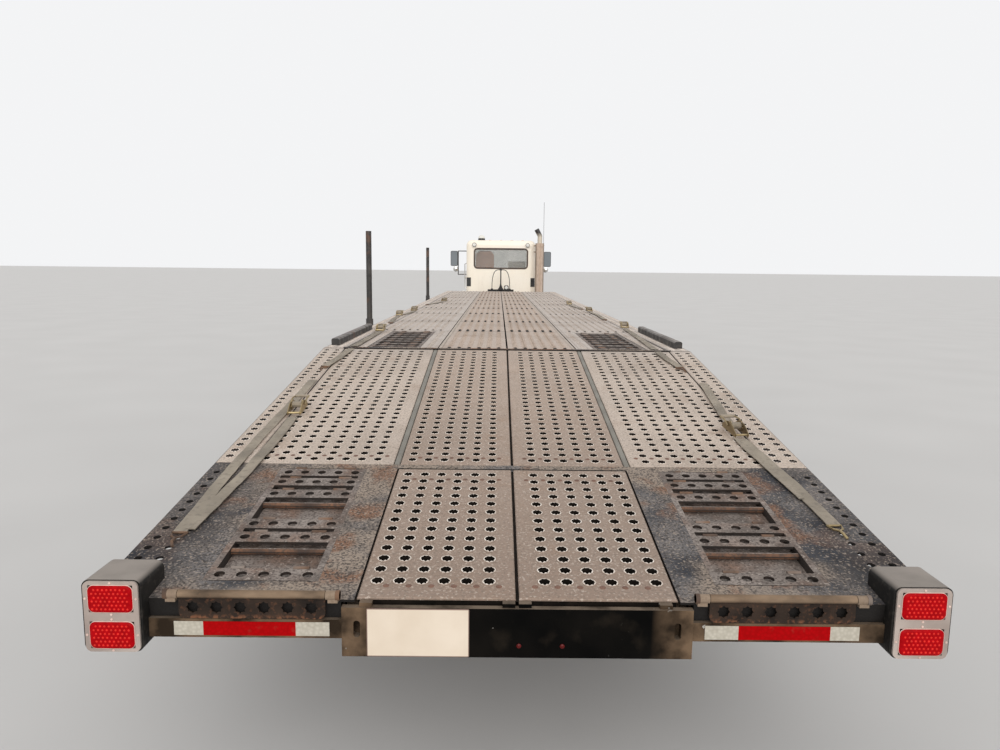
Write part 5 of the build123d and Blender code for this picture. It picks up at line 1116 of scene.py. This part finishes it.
def wheel(name, piece, side, station, radius, middles, width):
    """Tyres and rims of one wheel, the outer disc dished inwards on twins and outwards on single ones."""
    outward = Matrix.Scale(side, 4, (1, 0, 0)) if side < 0 else Matrix.Identity(4)
    place = Matrix.Translation((0, along(station), radius)) @ outward
    form = Form()
    flange, barrel, lip = width * 0.4, RIM_RADIUS - 0.012, RIM_RADIUS + 0.006
    for middle in middles:
        form.turned(tyre_profile(middle, width, radius), place, TYRE, 84)
        low, high = middle - flange, middle + flange
        rim = [(low, barrel), (low - 0.006, lip), (low + 0.008, RIM_RADIUS), (low + 0.03, barrel),
               (high - 0.03, barrel), (high - 0.008, RIM_RADIUS), (high + 0.006, lip), (high, barrel - 0.001)]
        form.turned(rim, place, STEEL, 60)
        well = barrel - 0.014
        inside = [(low, barrel), (middle - 0.05, well), (middle + 0.05, well), (high, barrel)]
        form.turned(inside, place, STEEL, 60)
    twin = len(middles) == 2
    level = (sum(middles) / 2 + 0.018) if twin else middles[0] + 0.07
    edge = RIM_RADIUS - 0.024
    disc(form, place, edge - 0.012, DISC_INNER, level)
    slope = [(level - 0.03, RIM_RADIUS - 0.018), (level - 0.004, edge), (level, edge - 0.012)]
    form.turned(slope, place, STEEL, 60)
    cap = level + (0.175 if twin else 0.075)
    hub = [(level, DISC_INNER), (level + 0.002, 0.118), (level + 0.012, 0.112), (level + 0.02, 0.096),
           (cap - 0.05, 0.088), (cap - 0.03, 0.078), (cap - 0.012, 0.072), (cap - 0.004, 0.05), (cap, 0.0)]
    form.turned(hub, place, CASTING, 40)
    nuts(form, place, level)
    back, front = middles[0] - width * 0.3, level - 0.02
    drum = [(back, DRUM[0]), (back, DRUM[1]), (front, DRUM[1]), (front, DRUM[0])]
    form.turned(drum, place, CASTING)
    form.piece(piece, f"{name}_body", "wheel_tyre", "wheel_tyre", "wheel_rim", "cast_parts", replaced=name)


def wheels():
    axles = (
        ("drive_wheel_rear", 14.39, TRUCK_R, (0.746, 1.078), 0.28),
        ("drive_wheel_front", 15.71, TRUCK_R, (0.746, 1.078), 0.28),
        ("trailer_wheel_rear", 4.08, TRAILER_R, (0.85, 1.15), 0.255),
        ("trailer_wheel_front", 5.33, TRAILER_R, (0.85, 1.15), 0.255),
    )
    for side, word in SIDES:
        wheel(f"front_wheel_{word}", f"steer_wheel_{word}_look", side, 20.8, TRUCK_R, (1.02,), 0.28)
        for axle, *sizes in axles:
            wheel(f"{axle}_{word}", f"{axle}_{word}_look", side, *sizes)


# Cab


def window_gasket():
    """Rubber seal round the rear window."""
    form = Form()
    half, z0, z1 = REAR_WINDOW
    y = along(CAB_BACK) - 0.003
    outline = [(x, y, z) for x, z in rounded(-half - 0.008, half + 0.008, z0 - 0.008, z1 + 0.008, 0.088, 8)]
    form.tube(outline, 0.02, 10, closed=True, flatten=0.55)
    form.piece("rear_window_gasket", "tractor", "dark_plastic", "seal_rubber")


def driver_seat_back():
    """High back of the driver's seat, which shows in the rear window."""
    form = Form()
    outline = rounded(-0.69, -0.19, 1.7, 2.35, 0.15, 8)
    form.prism(outline, -0.035, 0.035, 0, spot(0, 19.075, 0, UPRIGHT))
    form.piece("driver_seat_back", "tractor", "seat_cloth", "seat_back")


def roof_lamps():
    """White beacon dome on a dark base, and work lamps with white lenses at the rear corners."""
    form = Form()
    stand = spot(*BEACON, UP)
    form.turned(((-0.004, 0.096), (0.04, 0.096), (0.052, 0.09), (0.06, 0.08)), stand, 0, 32)
    dome = ((0.052, 0.084), (0.075, 0.086), (0.1, 0.082), (0.125, 0.066), (0.142, 0.04), (0.15, 0.0))
    form.turned(dome, stand, 1, 32)
    for side in (1, -1):
        rear = spot(side * WORK_LAMP[0], *WORK_LAMP[1:], REAR)
        form.turned(((-0.105, 0.05), (-0.004, 0.057), (0.0, 0.056), (0.0, 0.045)), rear, 0, 28)
        form.turned(((0.0, 0.046), (0.001, 0.04), (0.004, 0.02), (0.005, 0.0)), rear, 1, 28)
    materials = ("dark_plastic", "white_lens")
    form.piece("roof_lamps", "tractor", "dark_plastic", *materials, replaced="roof_fittings")


def mirror_faces():
    """Flat glass on the rear of each mirror head and a small convex mirror below it."""
    materials = ("mirror_glass", "mirror_case", "chrome_trim")
    for sign, side in SIDES:
        form = Form()
        x0, x1 = mirrored(sign, 1.249, 1.426)
        form.prism(rounded(x0, x1, 1.945, 2.345, 0.03), 0.0, 0.003, 0, spot(0, MIRROR_REAR, 0, UPRIGHT))
        head = spot(sign * 1.29, MIRROR_REAR + 0.02, 1.845, REAR)
        form.turned(((-0.03, 0.03), (-0.022, 0.062), (-0.004, 0.074), (0.0, 0.07)), head, 1, 28)
        form.turned(((0.0, 0.07), (0.008, 0.052), (0.012, 0.028), (0.014, 0.0)), head, 2, 28)
        form.tube([(sign * x, along(MIRROR_REAR + 0.045), 1.845) for x in (1.29, 1.222)], 0.008, 8, 1)
        form.piece(f"mirror_faces_{side}", f"door_{side}_body", "chrome_trim", *materials)


def mast_foot():
    """Spring base, couplings and a pale socket box on the bar at the foot of the air lines' mast."""
    form = Form()
    s, top = 18.56, 1.3
    spring = ((-0.002, 0.08), (0.012, 0.08), (0.06, 0.046), (0.125, 0.024), (0.16, 0.018))
    form.turned(spring, spot(0, s, top, UP), 0, 20)
    # Couplings, bar and socket box: x from and to, stations and heights from the mast's foot, and the bevel
    for x, stations, (low, high), bevel in (
        ((-0.266, -0.206), (-0.028, 0.028), (-0.002, 0.034), 0.006),
        ((0.213, 0.273), (-0.028, 0.028), (-0.002, 0.034), 0.006),
        ((-0.352, 0.352), (-0.036, 0.034), (-0.03, 0.012), 0.006),
        ((0.095, 0.215), (-0.045, 0.03), (0.0, 0.12), 0.016),
    ):
        form.block(1, x, (s + stations[0], s + stations[1]), (top + low, top + high), 0, bevel)
    lid = ((0.0, 0.044), (0.01, 0.042), (0.014, 0.03), (0.015, 0.0))
    form.turned(lid, spot(0.155, s - 0.043, top + 0.062, REAR), 1, 20)
    form.piece("mast_foot", "tractor", "dark_plastic", "dull_black", "white_lens")


def stack_brackets():
    """Two clamps that hold the exhaust stack's guard to the cab's corner, and a dark disc in its mouth:
    painted shade inside the pipe, with its soot.
    """
    form = Form()
    clamp = ((-0.02, 0.1185), (-0.018, 0.1215), (0.018, 0.1215), (0.02, 0.1185))
    for z in (2.33, 2.5):
        form.turned(clamp, spot(*STACK, z, UP), 0, 40)
        form.block(1, (0.9, 0.945), (18.838, 18.975), (z - 0.018, z + 0.018), 0, 0.004)
    # A dark disc across the mouth: painted shade inside the open pipe, with soot
    lean = Matrix.Rotation(-math.pi / 2 - math.atan2(0.095, 0.17), 4, "Y")
    mouth = spot(STACK_END[0], STACK[1], STACK_END[1], lean)
    form.turned(((0.0, 0.066), (0.0005, 0.05), (0.001, 0.0)), mouth, 1, 24)
    form.piece("stack_brackets", "tractor", "chrome_trim", "stack_metal", "dull_black")


def cab_trim():
    """Grab handles behind the doors, roof marker lamps, fuel tank straps and caps."""
    form = Form()
    offset, height, radius = TANK
    strap = ((-0.035, radius), (-0.034, radius + 0.005), (0.034, radius + 0.005), (0.035, radius))
    for sign in (1, -1):
        handle = ((CAB_HALF, 1.3), (CAB_HALF + 0.045, 1.33), (CAB_HALF + 0.045, 1.98), (CAB_HALF, 2.01))
        form.tube([(sign * x, along(19.085), z) for x, z in handle], 0.013, 10)
        for s in (17.95, 18.62):
            form.turned(strap, spot(sign * offset, s, height, Matrix.Rotation(math.pi / 2, 4, "Z")), 1, 48)
        tilt = Matrix.Rotation(-math.pi / 2 + sign * 0.6, 4, "Y")
        cap = spot(sign * (offset + 0.17), 18.3, height + 0.245, tilt)
        form.turned(((-0.02, 0.045), (0.035, 0.045), (0.045, 0.038), (0.046, 0.0)), cap, 0, 24)
    for x in (-0.62, -0.31, 0.0, 0.31, 0.62):
        form.block(1, (x - 0.045, x + 0.045), (19.86, 19.93), (2.634, 2.672), 2, 0.012)
    form.piece("cab_trim", "tractor", "chrome_trim", "chrome_trim", "dull_black", "amber_lens")


def front_trim():
    """Wipers, headlamp bezels, turn lamps and hood latches."""
    wipers, nose = Form(), Form()
    foot, foot_height = SCREEN_FOOT
    for sign in (1, -1):
        blade = []
        for x, z in ((0.13, 1.668), (0.34, 1.7), (0.6, 1.735)):
            blade.append((sign * x, along(foot - SCREEN_RAKE * (z - foot_height) + 0.022), z))
        wipers.tube(blade, 0.008, 8)
        arm = [Vector(point) + Vector((0, 0.012, -0.004)) for point in blade[:2]]
        wipers.tube(arm, 0.007, 8)
        x0, x1 = mirrored(sign, 0.8, 1.08)
        bezel = [(x, along(21.79), z) for x, z in rounded(x0, x1, 0.87, 1.03, 0.022, 4)]
        nose.tube(bezel, 0.012, 8, 0, closed=True)
        nose.block(sign, (1.104, 1.176), (21.755, 21.792), (0.89, 0.985), 1, 0.01)
        nose.block(sign, (0.76, 0.8), (20.43, 20.47), (1.18, 1.31), 2, 0.008)
    wipers.piece("wipers", "tractor", "dark_plastic", "dark_plastic")
    nose.piece("nose_trim", "hood_body", "chrome_trim", "chrome_trim", "amber_lens", "hose_rubber")


def door_handles():
    route = ((0.948, 19.24), (0.986, 19.255), (0.986, 19.365), (0.948, 19.38))
    for sign, side in SIDES:
        form = Form()
        form.tube([(sign * x, along(s), 1.6) for x, s in route], 0.011, 10)
        form.piece(f"door_handle_{side}", f"door_{side}_body", "dark_plastic", "dark_plastic")


def box_trim():
    """Doors and latches of the tool boxes, and bare treads on the steps under the doors."""
    form = Form()
    for sign in (1, -1):
        seam = [(sign * 1.1305, along(s), z) for s, z in rounded(17.045, 17.525, 0.68, 1.2, 0.03, 4)]
        form.tube(seam, 0.0045, 6, 0, closed=True)
        form.block(sign, (1.128, 1.146), (17.245, 17.325), (1.11, 1.16), 1, 0.005)
        for low, high, z in ((0.63, 1.172, 0.911), (0.648, 1.172, 0.359)):
            form.block(sign, (low, high), (19.13, 19.99), (z, z + 0.005), 1, 0.001)
            for n in range(22):
                s = 19.15 + n * 0.039
                form.block(sign, (low + 0.02, high - 0.02), (s, s + 0.01), (z + 0.004, z + 0.009), 1, 0.002)
    form.piece("box_trim", "tractor", "bright_metal", "dull_black", "bright_metal")


def side_markers():
    """Small amber lamps along both rails of the deck."""
    form = Form()
    x = (DECK_HALF - 0.006, DECK_HALF + 0.01)
    for sign in (1, -1):
        for s in (4.7, 8.5, 12.3, 15.9):
            form.block(sign, x, (s - 0.032, s + 0.032), (1.235, 1.262), 0, 0.005)
    form.piece("side_markers", "trailer", "clear_lens", "amber_lens")


def cab_vents():
    """Black louvred extractors round the rear corners of the cab."""
    form = Form()
    centre_x, centre_y, radius = CAB_HALF - 0.15, CAB_BACK + 0.15, 0.153
    for sign in (1, -1):
        route = []
        for k in range(9):
            angle = math.radians(8 + 56 * k / 8)
            reach = radius + (0.004 if k % 2 else 0.0)
            x, s = sign * (centre_x + reach * math.sin(angle)), centre_y - reach * math.cos(angle)
            route.append((x, along(s)))
        form.sheet([[(x, y, z) for z in (1.39, 1.61)] for x, y in route])
        for z in (1.385, 1.615):
            form.tube([(x, y, z) for x, y in route], 0.006, 6)
        for n in range(7):
            form.tube([(x, y - 0.002, 1.415 + n * 0.028) for x, y in route], 0.0055, 6)
    form.piece("cab_vents", "tractor", "dark_plastic", "dark_plastic")


# Routes of the two air lines
HOSES = {
    "left": ((-0.034, 18.56, 1.84), (-0.105, 18.56, 1.84), (-0.165, 18.557, 1.791), (-0.205, 18.551, 1.7),
             (-0.228, 18.549, 1.58), (-0.236, 18.556, 1.44), (-0.236, 18.556, 1.3)),
    "right": ((0.034, 18.56, 1.84), (0.11, 18.56, 1.84), (0.172, 18.564, 1.788), (0.213, 18.571, 1.69),
              (0.236, 18.573, 1.565), (0.243, 18.564, 1.43), (0.243, 18.564, 1.3)),
}


def hoses():
    """The two air lines, as smooth curves through the routes that the solids follow."""
    for side, route in HOSES.items():
        curve = bpy.data.curves.new(f"air_line_{side}", "CURVE")
        curve.dimensions = "3D"
        curve.bevel_depth = 0.009
        curve.bevel_resolution = 4
        curve.resolution_u = 16
        spline = curve.splines.new("NURBS")
        spline.points.add(len(route) - 1)
        for point, (x, s, z) in zip(spline.points, route):
            point.co = (x, along(s), z, 1)
        spline.order_u = 3
        spline.use_endpoint_u = True
        curve.materials.append(MATERIALS["hose_rubber"])
        thing = add_thing(f"air_line_{side}", curve, "tractor", f"hose_{side}")
        x, s, z = route[0]


OWN_FINISH = {
    "rear_beam": "beam_paint",
    "lamp_boxes": "lamp_box_paint",
    "flap_left": "flap_paint",
    "flap_right": "flap_paint",
    "tread_grids": "tread_steel",
    "exhaust_stack": "stack_metal",
    "mirror_left": "mirror_case",
    "mirror_right": "mirror_case",
}


def finish_nodes():
    """Gives every solid that still shows its material."""
    slots = {part["node"]: part["material_slot"] for part in frame["record"]["subparts"]}
    for name, thing in frame["nodes"].items():
        thing.data.materials.clear()
        thing.data.materials.append(MATERIALS[OWN_FINISH.get(name, slots[name])])
        thing.data.shade_smooth()
        thing.data.set_sharp_from_angle(angle=math.radians(30))


# Surroundings


def background(node, colour, strength):
    node.inputs["Color"].default_value = (*colour, 1)
    node.inputs["Strength"].default_value = strength
    return node.outputs[0]


def surroundings():
    """An even sky that lights the truck, a paler one that the camera sees, a soft sun and a floor."""
    world = bpy.data.worlds.new("studio")
    bpy.context.scene.world = world
    world.use_nodes = True
    nodes, links = world.node_tree.nodes, world.node_tree.links
    light = background(nodes["Background"], (1.0, 1.0, 1.0), 0.74)
    pale = background(nodes.new("ShaderNodeBackground"), (0.9, 0.905, 0.915), 1.0)
    path = nodes.new("ShaderNodeLightPath")
    seen = path.outputs["Is Camera Ray"]
    for ray in ("Is Glossy Ray", "Is Transmission Ray"):
        either = nodes.new("ShaderNodeMath")
        either.operation = "MAXIMUM"
        links.new(seen, either.inputs[0])
        links.new(path.outputs[ray], either.inputs[1])
        seen = either.outputs[0]
    blend = nodes.new("ShaderNodeMixShader")
    for number, socket in enumerate((seen, light, pale)):
        links.new(socket, blend.inputs[number])
    links.new(blend.outputs[0], nodes["World Output"].inputs["Surface"])
    lamp = bpy.data.lights.new("high_sun", "SUN")
    lamp.energy = 1.6
    lamp.angle = math.radians(50)
    lamp.color = (1.0, 0.99, 0.97)
    add_thing("high_sun", lamp).rotation_euler = (math.radians(60), math.radians(10), 0)
    reach = 400.0
    floor = bpy.data.meshes.new("floor")
    floor.from_pydata(corners(-reach, reach, -reach, reach, 0), [], [(0, 1, 2, 3)])
    floor.materials.append(plain("floor", (0.6, 0.59, 0.58), (0.57, 0.56, 0.55), 0.9, 0.8).material)
    add_thing("floor", floor)
    bpy.context.scene.view_settings.view_transform = "Standard"


def camera():
    data = bpy.data.cameras.new("camera")
    data.sensor_width = 36.0
    data.lens = FOCAL_SHARE * data.sensor_width
    data.clip_end = 1000
    thing = add_thing("camera", data)
    x, s, z = CAMERA_PLACE
    thing.location = (x, along(s), z)
    level = Matrix.Rotation(math.radians(90 - CAMERA_PITCH), 3, "X")
    roll = Matrix.Rotation(math.radians(CAMERA_ROLL), 3, "Z")
    turn = Matrix.Rotation(math.radians(CAMERA_TURN), 3, "Z")
    thing.rotation_euler = (turn @ level @ roll).to_euler()
    bpy.context.scene.camera = thing


BUILDERS = (
    camera, hoses, surroundings, finish_nodes,
    tail_centre_panels, level_centre_panels, tail_outer_panels, level_outer_panels, seam_bars, edge_sheets,
    tread_knuckles, row_seam_plate, registration_plate, tail_lamps, marker_lamps, reflectors,
    hinge_trim, flap_teeth, straps, wheels,
    window_gasket, driver_seat_back, roof_lamps, mirror_faces, mast_foot, stack_brackets,
    cab_trim, front_trim, door_handles, box_trim, side_markers, cab_vents,
)
for build in BUILDERS:
    build()
